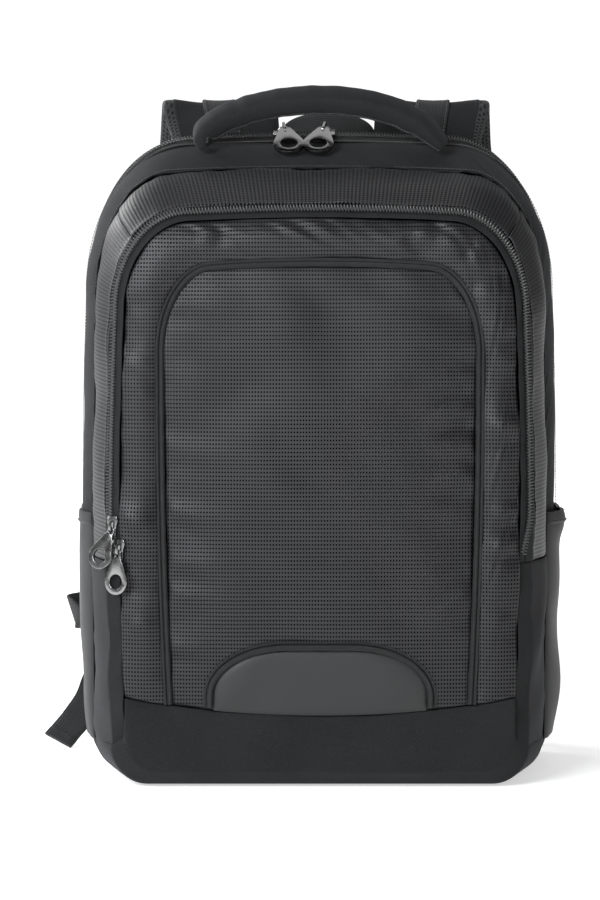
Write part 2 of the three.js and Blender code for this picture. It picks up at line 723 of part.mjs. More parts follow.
// The webbing lies on the outer face of the strap, from the arch down to the first bar of the buckle.
function strapWebbing(side) {
  const frames = strapFrames(side).slice(strapSteps * 0.175);
  const outward = strapFoam / 2 + seamGap + webbingWall / 2;
  const end = strapEnd(side);
  frames.push({ ...end, point: end.point.clone().addScaledVector(end.along, buckleReach + 2 * buckleBar) });
  const lifted = frames.map((f) => ({ ...f, point: f.point.clone().addScaledVector(f.up, outward) }));
  return sweep(lifted, () => flatSection(-webbingWidth, webbingWall));
}

function strapEnd(side) {
  const frames = strapFrames(side);
  const end = frames[strapSteps];
  const along = end.point.clone().sub(frames[strapSteps - 2].point).normalize();
  return { ...end, along };
}

// The cover that holds both straps to the back panel.
function anchorCover() {
  const z = bagHeight * 0.865;
  const y = backSeamY + backFoam + 2 * seamGap + anchorWall / 2;
  const rows = [-1, -0.5, 0, 0.5, 1];
  const points = rows.map((u) => vec((u * anchorWidth) / 2, y, z));
  return sweep(framesAlong(points, points.map(() => vec(0, 0, 1))), () => padSection(anchorHeight, anchorWall));
}

function toSolid(geometry) {
  const bare = geometry.index ? geometry.toNonIndexed() : geometry.clone();
  bare.deleteAttribute("normal");
  bare.deleteAttribute("uv");
  const merged = mergeVertices(bare, 1e-4);
  return new wasm.Manifold(new wasm.Mesh({
    numProp: 3,
    vertProperties: merged.attributes.position.array,
    triVerts: new Uint32Array(merged.index.array),
  }));
}

function toGeometry(solid) {
  const mesh = solid.getMesh();
  const geometry = new THREE.BufferGeometry();
  geometry.setAttribute("position", new THREE.BufferAttribute(mesh.vertProperties, 3));
  geometry.setIndex(new THREE.BufferAttribute(mesh.triVerts, 1));
  return geometry;
}

// An outline extruded through a wall, centred on its middle plane.
function plate(shape, wall, curveSegments = 8) {
  const geometry = new THREE.ExtrudeGeometry(shape, { depth: wall, bevelEnabled: false, curveSegments });
  return geometry.translate(0, 0, -wall / 2);
}

function rectanglePath(Kind, halfX, halfY, x = 0, y = 0) {
  const path = new Kind();
  path.moveTo(x - halfX, y - halfY);
  path.lineTo(x + halfX, y - halfY);
  path.lineTo(x + halfX, y + halfY);
  path.lineTo(x - halfX, y + halfY);
  path.closePath();
  return path;
}

// A three-bar buckle, drawn with x across the webbing and y along it.
function buckleGeometry() {
  const shape = rectanglePath(THREE.Shape, buckleWidth / 2, buckleLength / 2);
  const slotHalf = (buckleLength - 3 * buckleBar) / 4;
  const slotX = (webbingWidth + 1.5) / 2;
  for (const side of [-1, 1]) {
    shape.holes.push(rectanglePath(THREE.Path, slotX, slotHalf, 0, side * (slotHalf + buckleBar / 2)));
  }
  return plate(shape, buckleWall);
}

// A basis matrix from directions across, along and up at a point.
function basisAt(point, across, along, up) {
  return new THREE.Matrix4().makeBasis(across, along, up).setPosition(point);
}

function bucklePlace(side) {
  const end = strapEnd(side);
  const centre = end.point.clone().addScaledVector(end.along, buckleLength / 2 + buckleReach)
    .addScaledVector(end.up, strapFoam / 2 - buckleWall / 2);
  const across = end.along.clone().cross(end.up).normalize();
  return { centre, across, along: end.along, up: end.up };
}

const lowerSteps = 14;

// The webbing from the tab at the foot of the back up to the buckle.
function lowerWebbing(side) {
  const { centre, along, up, across } = bucklePlace(side);
  const tab = tabPlace(side);
  const start = tab.clone().add(vec(0, tabWall / 2 + seamGap + webbingWall / 2, -tabHeight * 0.3));
  const end = centre.clone().addScaledVector(along, buckleLength / 2 - buckleBar)
    .addScaledVector(up, -buckleWall / 2 - seamGap - webbingWall / 2);
  const away = end.clone().addScaledVector(along, buckleLength * 0.5);
  const curve = new THREE.CatmullRomCurve3([
    start, start.clone().add(vec(0, 0.6, tabHeight * 0.5)), start.clone().lerp(away, 0.75), away, end,
    end.clone().addScaledVector(along, -buckleLength * 0.45),
  ]);
  const points = curve.getPoints(lowerSteps);
  const wide = (i) => vec(1, 0, 0).lerp(across, i / lowerSteps);
  return sweep(framesAlong(points, points.map((_, i) => wide(i))), () => flatSection(webbingWidth, webbingWall));
}

function tabPlace(side) {
  return vec(side * halfWidth * 0.82, backSeamY + backFoam + 2 * seamGap + tabWall / 2, bagHeight * 0.085);
}

// The triangular tab that sews the lower webbing to the back panel.
function strapTab(side) {
  const shape = new THREE.Shape();
  shape.moveTo(-tabWidth / 2, -tabHeight / 2);
  shape.lineTo(tabWidth / 2, -tabHeight / 2);
  shape.lineTo(webbingWidth / 2 + 2, tabHeight / 2);
  shape.lineTo(-webbingWidth / 2 - 2, tabHeight / 2);
  shape.closePath();
  return plate(shape, tabWall);
}

// The free webbing from the left buckle bulges past the side, and its sewn end comes down to the floor.
// Each row is a point in shares of halfWidth, of strapArch behind the foam and of bagHeight, with the
// direction across the webbing.
const leftTailRows = [
  { across: -0.87, back: 0.92, up: 0.262, wide: [0.95, 0.3, 0.1] },
  { across: -0.98, back: 0.9, up: 0.245, wide: [0.6, 0.75, 0.1] },
  { across: -1.085, back: 0.66, up: 0.226, wide: [0.15, 1, 0] },
  { across: -1.115, back: 0.52, up: 0.2, wide: [-0.1, 1, 0.1] },
  { across: -1.06, back: 0.46, up: 0.17, wide: [-0.2, 1, 0.1] },
  { across: -0.97, back: 0.42, up: 0.138, wide: [0.2, 0.95, 0] },
  { across: -0.955, back: 0.36, up: 0.112, wide: [0.8, 0.5, -0.1] },
  { across: -0.995, back: 0.28, up: 0.08, wide: [0.92, 0.1, -0.3] },
  { across: -1.065, back: 0.18, up: 0.05, wide: [0.95, -0.2, -0.22] },
  { across: -1.12, back: 0.1, up: 0.0298, wide: [0.95, -0.25, -0.14] },
];

// The right tail hangs out of sight behind the bag.
const rightTailRows = [
  { across: 0.84, back: 0.93, up: 0.25, wide: [1, 0, 0] },
  { across: 0.84, back: 0.96, up: 0.2, wide: [1, 0, 0] },
  { across: 0.835, back: 0.88, up: 0.13, wide: [1, 0, 0] },
  { across: 0.83, back: 0.84, up: 0.06, wide: [1, 0, 0] },
];

// The tail starts on the outer face of the buckle.
function tailFrames(rows, side) {
  const { centre, across, along, up } = bucklePlace(side);
  const base = backSeamY + backFoam;
  const start = centre.addScaledVector(up, buckleWall / 2 + seamGap + webbingWall / 2);
  const leave = start.clone().addScaledVector(along, buckleLength / 2).addScaledVector(up, webbingWall);
  const points = rows.map((r) => vec(r.across * halfWidth, base + r.back * strapArch, r.up * bagHeight));
  const curve = new THREE.CatmullRomCurve3([start, leave, ...points]);
  const wides = new THREE.CatmullRomCurve3([across, across, ...rows.map((r) => vec(...r.wide))]);
  const marks = steps(0, 1, (rows.length + 2) * 3);
  return framesAlong(marks.map((t) => curve.getPoint(t)), marks.map((t) => wides.getPoint(t)));
}

// The free end is turned over and sewn, so its last stretch is thicker.
function tailWebbing(rows, side) {
  const frames = tailFrames(rows, side);
  const end = frames[frames.length - 1];
  const along = end.point.clone().sub(frames[frames.length - 2].point).normalize();
  const hemStart = { ...end, point: end.point.clone().addScaledVector(along, 0.5) };
  const hemEnd = { ...end, point: end.point.clone().addScaledVector(along, hemFoldLength) };
  const rings = [...frames, hemStart, hemEnd];
  const thinUntil = frames.length - 1;
  return sweep(rings, (t) =>
    flatSection(webbingWidth, Math.round(t * (rings.length - 1)) > thinUntil ? hemFoldWall : webbingWall));
}

// A zip slider: a waisted body with a bridge over it. x is across the zip, y along it, z out of the cloth.
function sliderGeometry() {
  const bodyShape = new THREE.Shape();
  const w = sliderWidth / 2;
  const l = sliderLength / 2;
  bodyShape.moveTo(-w * 0.62, -l);
  bodyShape.lineTo(w * 0.62, -l);
  bodyShape.lineTo(w * 0.7, 0);
  bodyShape.lineTo(w, l * 0.55);
  bodyShape.lineTo(w * 0.8, l);
  bodyShape.lineTo(-w * 0.8, l);
  bodyShape.lineTo(-w, l * 0.55);
  bodyShape.lineTo(-w * 0.7, 0);
  bodyShape.closePath();
  const base = plate(bodyShape, sliderWall).translate(0, 0, sliderWall / 2);
  const arch = new THREE.Shape();
  const b = bridgeLength / 2;
  arch.moveTo(-b, 0);
  arch.lineTo(b, 0);
  arch.lineTo(b, bridgeRise * 0.55);
  arch.lineTo(b * 0.6, bridgeRise);
  arch.lineTo(-b * 0.6, bridgeRise);
  arch.lineTo(-b, bridgeRise * 0.55);
  arch.closePath();
  const gap = new THREE.Path();
  const g = b - bridgeWall;
  gap.moveTo(-g, 0.4);
  gap.lineTo(g, 0.4);
  gap.lineTo(g, bridgeRise * 0.5);
  gap.lineTo(b * 0.5, bridgeRise - bridgeWall);
  gap.lineTo(-b * 0.5, bridgeRise - bridgeWall);
  gap.lineTo(-g, bridgeRise * 0.5);
  gap.closePath();
  arch.holes.push(gap);
  const bridge = plate(arch, bridgeWidth);
  bridge.applyMatrix4(basisAt(vec(0, 0, sliderWall - 0.2), vec(0, 1, 0), vec(0, 0, 1), vec(1, 0, 0)));
  return toGeometry(toSolid(base).add(toSolid(bridge)));
}

// The wire of the link passes under the bridge, close to the leg that it hangs from.
const hingeHeight = sliderWall + (bridgeRise - bridgeWall) / 2;
const legShift = (bridgeLength - bridgeWall) / 2;

function roundRectangle(Kind, halfX, lowY, highY, radius) {
  const path = new Kind();
  path.moveTo(radius - halfX, lowY);
  path.lineTo(halfX - radius, lowY);
  path.absarc(halfX - radius, lowY + radius, radius, -Math.PI / 2, 0, false);
  path.lineTo(halfX, highY - radius);
  path.absarc(halfX - radius, highY - radius, radius, 0, Math.PI / 2, false);
  path.lineTo(radius - halfX, highY);
  path.absarc(radius - halfX, highY - radius, radius, Math.PI / 2, Math.PI, false);
  path.lineTo(-halfX, lowY + radius);
  path.absarc(radius - halfX, lowY + radius, radius, Math.PI, Math.PI * 1.5, false);
  return path;
}

// The oval link, closed round the bridge. x is across it and y runs down the pull.
function linkGeometry() {
  const half = linkWire / 2;
  const radius = linkWidth * 0.32;
  const shape = roundRectangle(THREE.Shape, linkWidth / 2, -half, linkLength + half, radius);
  const inner = linkWidth / 2 - linkWire;
  shape.holes.push(roundRectangle(THREE.Path, inner, half, linkLength - half, radius * 0.4));
  return plate(shape, linkWire, 3);
}

// The teardrop pull with its large eye. The foot of its link lies at the origin.
function pullGeometry() {
  const shape = new THREE.Shape();
  const neck = pullHead / 2;
  const ringY = pullLength - pullRing - neck;
  const lean = Math.asin((pullRing - neck) / ringY);
  shape.moveTo(-neck * 0.6, -neck);
  shape.lineTo(neck * 0.6, -neck);
  shape.lineTo(neck, neck * 0.4 - neck);
  shape.absarc(0, ringY, pullRing, -lean, Math.PI + lean, false);
  shape.lineTo(-neck, neck * 0.4 - neck);
  shape.closePath();
  const eye = new THREE.Path();
  eye.absarc(0, ringY, pullHole, 0, Math.PI * 2, true);
  shape.holes.push(eye);
  return plate(shape, pullWall, 7);
}

// The pull and its link in one, with the bridge's side of the link at the origin.
function linkedPull(linkTurn) {
  const link = linkGeometry();
  if (linkTurn) link.rotateY(linkTurn);
  const pull = pullGeometry().translate(0, linkLength, 0);
  return toGeometry(toSolid(link).add(toSolid(pull)));
}

// Where each slider stands: above the corner panel as a share of sliderLength, or at s, with its ring, and how
// its pull swings about the cloth's normal and tips away from the cloth, in radians. Both top pulls lie
// across their zip.
const sliderRows = [
  { name: "front_upper", above: 1.786, ring: 3.26, swing: -0.36, tip: 0.14, acrossZip: false },
  { name: "front_lower", above: 0.643, ring: 3.8, swing: -0.03, tip: 0.02, acrossZip: false },
  { name: "top_left", s: 4.36, ring: 1, swing: 0.16, tip: -0.06, acrossZip: true },
  { name: "top_right", s: 4.52, ring: 1, swing: -0.2, tip: -0.06, acrossZip: true },
];

// The ring of the coil of the front zip, whose lower ends bend in towards the face.
function coilRing(s) {
  const fromEnd = (Math.min(s, mirrorS(s)) - sideAt(cornerPanelTop, frontZipLoop));
  const bend = zipEndBend / (loopShoulder(loops[frontZipLoop]) - loopFoot(loops[frontZipLoop]));
  return lerp(zipEndRing, zipCoilRing, smoothstep(fromEnd, 0, bend));
}

// The frame of a slider: a point on the coil, the zip's direction, the cloth's normal and the pull's direction.
function sliderFrame(row) {
  const s = row.s ?? sideAt(cornerPanelTop + row.above * sliderLength, row.ring);
  const cloth = bodyNormal(s, row.ring);
  const ahead = bodyPoint(s + stepAlong, row.ring).sub(bodyPoint(s - stepAlong, row.ring)).normalize();
  const recess = row.acrossZip ? zipTapeRecess : 0;
  const point = bodyPoint(s, row.ring).addScaledVector(cloth, zipCoilHeight + 2 * seamGap - recess);
  const straight = row.acrossZip ? cloth.clone().cross(ahead).negate() : ahead.clone().negate();
  const wide = straight.clone().cross(cloth).applyAxisAngle(cloth, row.swing).normalize();
  const pull = straight.applyAxisAngle(cloth, row.swing).applyAxisAngle(wide, row.tip).normalize();
  return { point, cloth, ahead, wide, pull, normal: wide.clone().cross(pull) };
}

const nylonGray = { color: 0x36383b, roughness: 0.45, metalness: 0 };
const plainBlack = { color: 0x232425, roughness: 0.8, metalness: 0 };
const smoothGray = { color: 0x3f4041, roughness: 0.55, metalness: 0 };
const webBlack = { color: 0x17181a, roughness: 0.7, metalness: 0 };
const meshBlack = { color: 0x1a1b1c, roughness: 0.9, metalness: 0 };
const coilBlack = { color: 0x1d1e20, roughness: 0.4, metalness: 0 };
const buckleBlack = { color: 0x141516, roughness: 0.4, metalness: 0 };
const gunmetal = { color: 0x8b8d8e, roughness: 0.25, metalness: 1 };

const bag = new THREE.Group();

function add(name, geometry, finish, matrix) {
  const mesh = new THREE.Mesh(geometry, new THREE.MeshStandardMaterial(finish));
  mesh.name = name;
  if (matrix) matrix.decompose(mesh.position, mesh.quaternion, mesh.scale);
  bag.add(mesh);
}

function addPanels() {
  const top = topZipPanels();
  add("main_gusset_rear", top.main_gusset_rear, plainBlack);
  add("main_gusset_front", top.main_gusset_front, plainBlack);
  add("main_zip_tape", top.main_zip_tape, webBlack);
  add("base_gusset", baseGusset(), plainBlack);
  for (const [name, geometry] of Object.entries(frontGussets())) add(name, geometry, nylonGray);
  add("corner_panel_left", cornerPanel(false), plainBlack);
  add("corner_panel_right", cornerPanel(true), plainBlack);
  add("front_zip_tape", frontZipTape(), webBlack);
  add("front_surround", surroundPanel(), nylonGray);
  add("pocket_panel", archSheet(pocketArch(pipingRadius + seamGap), 14, 12, nylonWall, 0, topCrown), nylonGray);
  add("badge_patch", archSheet(patchArch(0), 6, 10, patchWall, patchWall + seamGap, 0), smoothGray);
  add("bottom_band", bottomBand(), plainBlack);
  add("back_panel", backPanel(), meshBlack);
  add("divider_panel", dividerPanel(), plainBlack);
}

function addZips() {
  const topMarks = marksBetween(upperLow(topZipLoop) + 0.02, upperHigh(topZipLoop) - 0.02);
  const lowFront = frontPanelLow(frontZipLoop) + 0.01;
  const frontMarks = marksBetween(lowFront, mirrorS(lowFront));
  const coilFoot = zipCoilHeight / 2 + seamGap;
  add("main_zip_coil", bodyTube(topMarks, () => topZipLoop, zipCoilWidth / 2, zipCoilHeight / 2,
    coilFoot - zipTapeRecess, 6), coilBlack);
  add("front_zip_coil", bodyTube(frontMarks, coilRing, zipCoilWidth / 2, zipCoilHeight / 2,
    coilFoot, 6), coilBlack);
  for (const [name, geometry] of Object.entries(pipings())) add(name, geometry, coilBlack);
}

function addPockets() {
  for (const [name, mirrored] of [["left", false], ["right", true]]) {
    add(`side_pocket_${name}`, sidePocket(mirrored, sidePocketFoot, sidePocketTop, 9, pocketWall, 0), smoothGray);
    add(`pocket_hem_${name}`, sidePocket(mirrored, sidePocketTop - hemHeight, sidePocketTop, 1, hemWall,
      hemWall + seamGap), smoothGray);
  }
}

function addStraps() {
  add("carry_handle", carryHandle(), plainBlack);
  add("hang_loop", hangLoop(), webBlack);
  add("strap_anchor_cover", anchorCover(), plainBlack);
  for (const [name, side] of [["left", -1], ["right", 1]]) {
    const { centre, across, along, up } = bucklePlace(side);
    add(`shoulder_strap_${name}`, shoulderStrap(side), plainBlack);
    add(`strap_webbing_${name}`, strapWebbing(side), webBlack);
    add(`strap_buckle_${name}`, buckleGeometry(), buckleBlack, basisAt(centre, across, along, up));
    add(`lower_webbing_${name}`, lowerWebbing(side), webBlack);
    add(`strap_tab_${name}`, strapTab(side), plainBlack,
      basisAt(tabPlace(side), vec(-1, 0, 0), vec(0, 0, 1), vec(0, 1, 0)));
    add(`webbing_tail_${name}`, tailWebbing(side < 0 ? leftTailRows : rightTailRows, side), webBlack);
  }
}

function addPulls() {
  for (const row of sliderRows) {
    const { point, cloth, ahead, wide, pull, normal } = sliderFrame(row);
    const hinge = point.clone();
    if (row.acrossZip) {
      hinge.addScaledVector(cloth, sliderWall + bridgeRise - bridgeWall / 2);
      hinge.addScaledVector(pull, -bridgeWidth / 2 - linkWire / 2 - seamGap);
    } else {
      hinge.addScaledVector(cloth, hingeHeight).addScaledVector(ahead, -legShift);
      hinge.addScaledVector(pull, -bridgeWall / 2 - linkWire / 2 - 2 * seamGap);
    }
    const linkTurn = row.acrossZip ? Math.PI / 2 : 0;
    add(`zip_slider_${row.name}`, sliderGeometry(), gunmetal,
      basisAt(point, ahead.clone().cross(cloth).normalize(), ahead, cloth));
    add(`zip_pull_${row.name}`, linkedPull(linkTurn), gunmetal, basisAt(hinge, wide, pull, normal));
  }
}

addPanels();
addZips();
addPockets();
addStraps();
addPulls();

export default bag;
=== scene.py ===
import math
import bmesh
import bpy
import numpy as np
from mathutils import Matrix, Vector


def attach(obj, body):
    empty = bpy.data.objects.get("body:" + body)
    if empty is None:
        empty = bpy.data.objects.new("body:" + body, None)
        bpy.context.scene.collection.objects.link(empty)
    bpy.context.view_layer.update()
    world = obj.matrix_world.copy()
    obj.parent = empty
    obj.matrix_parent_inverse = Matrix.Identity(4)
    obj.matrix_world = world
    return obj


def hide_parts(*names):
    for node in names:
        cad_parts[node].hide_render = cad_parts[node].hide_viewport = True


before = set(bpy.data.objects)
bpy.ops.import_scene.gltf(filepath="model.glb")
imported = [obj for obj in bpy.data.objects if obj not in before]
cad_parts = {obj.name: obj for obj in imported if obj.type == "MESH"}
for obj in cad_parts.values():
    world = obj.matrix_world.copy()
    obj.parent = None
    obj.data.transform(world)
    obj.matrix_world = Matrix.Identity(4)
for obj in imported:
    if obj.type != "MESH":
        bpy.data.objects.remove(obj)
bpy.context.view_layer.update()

mm = 0.001  # every shape below is worked out in millimetres
body = "root"
bagCentre = np.array([0.0, 20.0, 220.0])

# the bag's own sizes
bag = {"width": 346, "height": 457, "depth": 160, "backSeam": 80, "crown": 2.5}
cloth = {"nylon": 1.6, "gap": 0.3}
halfWidth = bag["width"] / 2

# one row for each loop round the bag, from the back seam to the piping of the front pocket
loopRows = [
    # footDepth topDepth footWidth width   bow  height  cornerX cornerZ foot   lift   puff
    (0.0,       0.0,     0.935,    0.952, 0.022, 0.987, 0.44,  0.226, 0.056, 0.0,   0.016),
    (0.3,       0.3,     0.945,    0.966, 0.03,  1.0,   0.44,  0.233, 0.056, 0.0,   0.026),
    (0.5625,    0.5625,  0.936,    0.925, 0.008, 0.951, 0.324, 0.2,   0.056, 0.0,   0.024),
    (0.965,     0.86,    0.846,    0.848, 0.02,  0.895, 0.305, 0.155, 0.056, 0.004, 0.0),
    (1.012,     0.882,   0.79,     0.79,  0.02,  0.874, 0.27,  0.137, 0.05,  0.026, 0.026),
    (1.02,      0.895,   0.6,      0.642, 0.012, 0.8046, 0.214, 0.131, 0.03,  0.037, 0.0),
]
loopColumns = ("footDepth", "topDepth", "footWidth", "width", "bow", "height",
               "cornerX", "cornerZ", "foot", "lift", "puff")
loopTable = {name: np.array(values) for name, values in zip(loopColumns, zip(*loopRows))}
backLoop, topZipLoop, seamLoop, frontZipLoop, faceLoop, pipingLoop = range(len(loopRows))
wholeLoop = 9  # a loop runs from 0 at the middle of the base, over the left side, to 9


def lerp(a, b, t):
    return a + (b - a) * t


def smoothStep(x, low, high):
    t = np.clip((x - low) / (high - low), 0, 1)
    return t * t * (3 - 2 * t)


def unit(v):
    return v / np.maximum(np.linalg.norm(v, axis=-1, keepdims=True), 1e-9)


def bump(distance, reach):
    # 1 on the line, falling smoothly to nothing
    return np.exp(-((distance / reach) ** 2))


def at(name, k):
    return loopTable[name][k]


def sideHalfWidth(k, share):
    straight = lerp(at("footWidth", k), at("width", k), share)
    return halfWidth * (straight + at("bow", k) * np.sin(np.pi * np.clip(share, 0, 1)))


def loopFoot(k):
    return (at("lift", k) + at("foot", k)) * bag["height"]


def loopShoulder(k):
    return (at("height", k) - at("cornerZ", k)) * bag["height"] - bag["crown"]


def loopPoint(k, s):
    # the point of loop k at s, which counts half base, foot corner, side, top corner, top
    s = np.mod(s, wholeLoop)
    mirrored = s > wholeLoop / 2
    t = np.where(mirrored, wholeLoop - s, s)
    radius = at("foot", k) * bag["height"]
    lift = at("lift", k) * bag["height"]
    flat = sideHalfWidth(k, 0.0) - radius
    turn = np.clip(t - 1, 0, 1) * np.pi / 2
    rise = np.clip(t - 2, 0, 1)
    corner = np.clip(t - 3, 0, 1) * np.pi / 2
    cornerX = at("cornerX", k) * halfWidth
    cornerZ = at("cornerZ", k) * bag["height"]
    inner = sideHalfWidth(k, 1.0) - cornerX
    across = 1 - 2 * np.clip(t - 4, 0, 0.5)
    x = np.select(
        [t <= 1, t <= 2, t <= 3, t <= 4],
        [-flat * t, -flat - radius * np.sin(turn), -sideHalfWidth(k, rise),
         -inner - cornerX * np.cos(corner)],
        -inner * across)
    z = np.select(
        [t <= 1, t <= 2, t <= 3, t <= 4],
        [lift + 0 * t, lift + radius * (1 - np.cos(turn)), lerp(loopFoot(k), loopShoulder(k), rise),
         loopShoulder(k) + cornerZ * np.sin(corner)],
        at("height", k) * bag["height"] - bag["crown"] * across * across)
    depth = lerp(at("footDepth", k), at("topDepth", k), z / bag["height"])
    y = bag["backSeam"] - bag["depth"] * depth
    return np.stack([np.where(mirrored, -x, x), y + 0 * x, z], axis=-1)


def tautPoint(s, ring):
    s, ring = np.broadcast_arrays(np.asarray(s, float), np.asarray(ring, float))
    k = np.clip(np.floor(ring), 0, len(loopRows) - 2).astype(int)
    return lerp(loopPoint(k, s), loopPoint(k + 1, s), (ring - k)[..., None])


def normalOf(surface, s, ring, lowRing=0, highRing=5):
    along = surface(s + 0.02, ring) - surface(s - 0.02, ring)
    across = surface(s, np.minimum(ring + 0.03, highRing)) - surface(s, np.maximum(ring - 0.03, lowRing))
    return unit(np.cross(across, along))


def bodyPoint(s, ring):
    s, ring = np.broadcast_arrays(np.asarray(s, float), np.asarray(ring, float))
    k = np.clip(np.floor(ring), 0, len(loopRows) - 2).astype(int)
    t = np.mod(s, wholeLoop)
    t = np.minimum(t, wholeLoop - t)
    swell = at("puff", k) * bag["depth"] * np.sin(np.pi * (ring - k)) * smoothStep(t, 1.3, 2.4)
    return tautPoint(s, ring) + normalOf(tautPoint, s, ring, k, k + 1) * swell[..., None]


def bodyNormal(s, ring):
    return normalOf(bodyPoint, s, ring)


def sideAt(z, ring):
    k = int(np.clip(math.floor(ring), 0, len(loopRows) - 2))
    foot = lerp(loopFoot(k), loopFoot(k + 1), ring - k)
    shoulder = lerp(loopShoulder(k), loopShoulder(k + 1), ring - k)
    return 2 + (z - foot) / (shoulder - foot)


def mirrorS(s):
    return wholeLoop - s


def shareOfSpan(length, k):
    a = loopPoint(k, 3.0)
    b = loopPoint(k + 1, 3.0)
    return length / math.hypot(a[0] - b[0], a[1] - b[1])


def gapAcross(k):
    return shareOfSpan(cloth["gap"] * 0.8, k)


# meshes

clothSharpAngle = 50
padSharpAngle = 60


def meshObject(name, vertices, quads, uvs=None, uvQuads=None, sharpAngle=clothSharpAngle):
    mesh = bpy.data.meshes.new(name)
    mesh.vertices.add(len(vertices))
    mesh.vertices.foreach_set("co", (np.asarray(vertices) * mm).astype(np.float32).ravel())
    quads = np.asarray(quads, dtype=np.int32)
    mesh.loops.add(quads.size)
    mesh.loops.foreach_set("vertex_index", quads.ravel())
    mesh.polygons.add(len(quads))
    mesh.polygons.foreach_set("loop_start", np.arange(0, quads.size, 4, dtype=np.int32))
    mesh.update(calc_edges=True)
    if uvs is not None:
        layer = mesh.uv_layers.new(name="cloth")
        flat = np.asarray(uvs)[np.asarray(uvQuads).ravel()]
        layer.data.foreach_set("uv", flat.astype(np.float32).ravel())
    mesh.validate()
    mesh.polygons.foreach_set("use_smooth", np.ones(len(mesh.polygons), dtype=bool))
    mesh.set_sharp_from_angle(angle=math.radians(sharpAngle))
    thing = bpy.data.objects.new(name, mesh)
    bpy.context.collection.objects.link(thing)
    return thing


def gridNormals(points):
    return unit(np.cross(np.gradient(points, axis=0), np.gradient(points, axis=1)))


def facingOut(points, *others):
    # turns a grid round so that its normals leave the middle of the bag
    outward = np.sum(gridNormals(points) * (points - bagCentre), axis=-1).mean() > 0
    if outward:
        return (points, *others)
    return tuple(a[::-1] for a in (points, *others))


def sheetQuads(rows, columns):
    # the faces of an outer and an inner grid of points, and of the wall round their rims
    count = rows * columns
    index = np.arange(count).reshape(rows, columns)
    faces = np.stack([index[:-1, :-1], index[1:, :-1], index[1:, 1:], index[:-1, 1:]], axis=-1)
    faces = faces.reshape(-1, 4)
    rim = np.concatenate([index[:-1, 0], index[-1, :-1], index[:0:-1, -1], index[0, :0:-1]])
    ahead = np.roll(rim, -1)
    walls = np.stack([ahead, rim, rim + count, ahead + count], axis=-1)
    return np.concatenate([faces, faces[:, ::-1] + count, walls])


def closedSheet(name, outer, wall, uv):
    # a sheet of cloth with a wall, whose outer face is a grid of points
    outer, uv = facingOut(outer, uv)
    inner = outer - gridNormals(outer) * wall
    quads = sheetQuads(*outer.shape[:2])
    vertices = np.concatenate([outer.reshape(-1, 3), inner.reshape(-1, 3)])
    return meshObject(name, vertices, quads, uv.reshape(-1, 2), quads % (len(vertices) // 2))


def padFrom(name, outer, inner, uv):
    # a closed pad between two grids
    quads = sheetQuads(*outer.shape[:2])
    vertices = np.concatenate([outer.reshape(-1, 3), inner.reshape(-1, 3)])
    a, b, c = (vertices[quads[:, j]] for j in (0, 1, 2))
    if np.sum(a * np.cross(b, c)) < 0:
        quads = quads[:, ::-1]
    return meshObject(name, vertices, quads, uv.reshape(-1, 2), quads % (len(vertices) // 2), padSharpAngle)


def framesAlong(points, across):
    along = unit(np.gradient(points, axis=0))
    across = unit(across - np.sum(across * along, axis=-1, keepdims=True) * along)
    return points, across, np.cross(across, along)


def lengthsOf(points):
    return np.concatenate([[0], np.cumsum(np.linalg.norm(np.diff(points, axis=0), axis=-1))])


def sweep(name, frames, sections, sharpAngle=clothSharpAngle):
    # sections is one ring of points across and up, or one for each frame; its count is even
    points, across, up = frames
    sections = np.broadcast_to(sections, (len(points),) + np.shape(sections)[-2:])
    ring = points[:, None] + across[:, None] * sections[..., :1] + up[:, None] * sections[..., 1:]
    rows, count = ring.shape[:2]
    index = np.arange(rows * count).reshape(rows, count)
    ahead = np.roll(index, -1, axis=1)
    quads = np.stack([index[:-1], ahead[:-1], ahead[1:], index[1:]], axis=-1).reshape(-1, 4)
    uvIndex = np.arange(rows * (count + 1)).reshape(rows, count + 1)
    uvQuads = np.stack([uvIndex[:-1, :-1], uvIndex[:-1, 1:], uvIndex[1:, 1:], uvIndex[1:, :-1]], axis=-1)
    closed = np.concatenate([sections[0], sections[0][:1]])
    u, v = np.meshgrid(lengthsOf(points), lengthsOf(closed), indexing="ij")
    i = np.arange(count // 2 - 1)
    caps = np.stack([count - 1 - i, count - 2 - i, i + 1, i], axis=-1)
    quads = np.concatenate([quads, caps, caps[:, ::-1] + index[-1, 0]])
    uvQuads = np.concatenate([uvQuads.reshape(-1, 4), caps, caps[:, ::-1] + uvIndex[-1, 0]])
    vertices = ring.reshape(-1, 3)
    a, b, c = (vertices[quads[:, j]] for j in (0, 1, 2))
    if np.sum(a * np.cross(b, c)) < 0:
        quads, uvQuads = quads[:, ::-1], uvQuads[:, ::-1]
    return meshObject(name, vertices, quads, np.stack([u, v], axis=-1).reshape(-1, 2), uvQuads, sharpAngle)


def roundSection(rx, ry, sides=10):
    a = (np.arange(sides) + 0.5) * 2 * np.pi / sides
    return np.stack([rx * np.cos(a), ry * np.sin(a)], axis=-1)


def flatSection(width, wall, edge=0.35):
    # webbing: flat faces with rolled edges
    w, t = width / 2, wall / 2
    top = np.array([(w, t * edge), (w - t * 0.6, t), (w * 0.6, t * 1.04), (0, t * 1.06), (-w * 0.6, t * 1.04),
                    (t * 0.6 - w, t), (-w, t * edge)])
    return np.concatenate([top, (top * [1, -1])[::-1]])


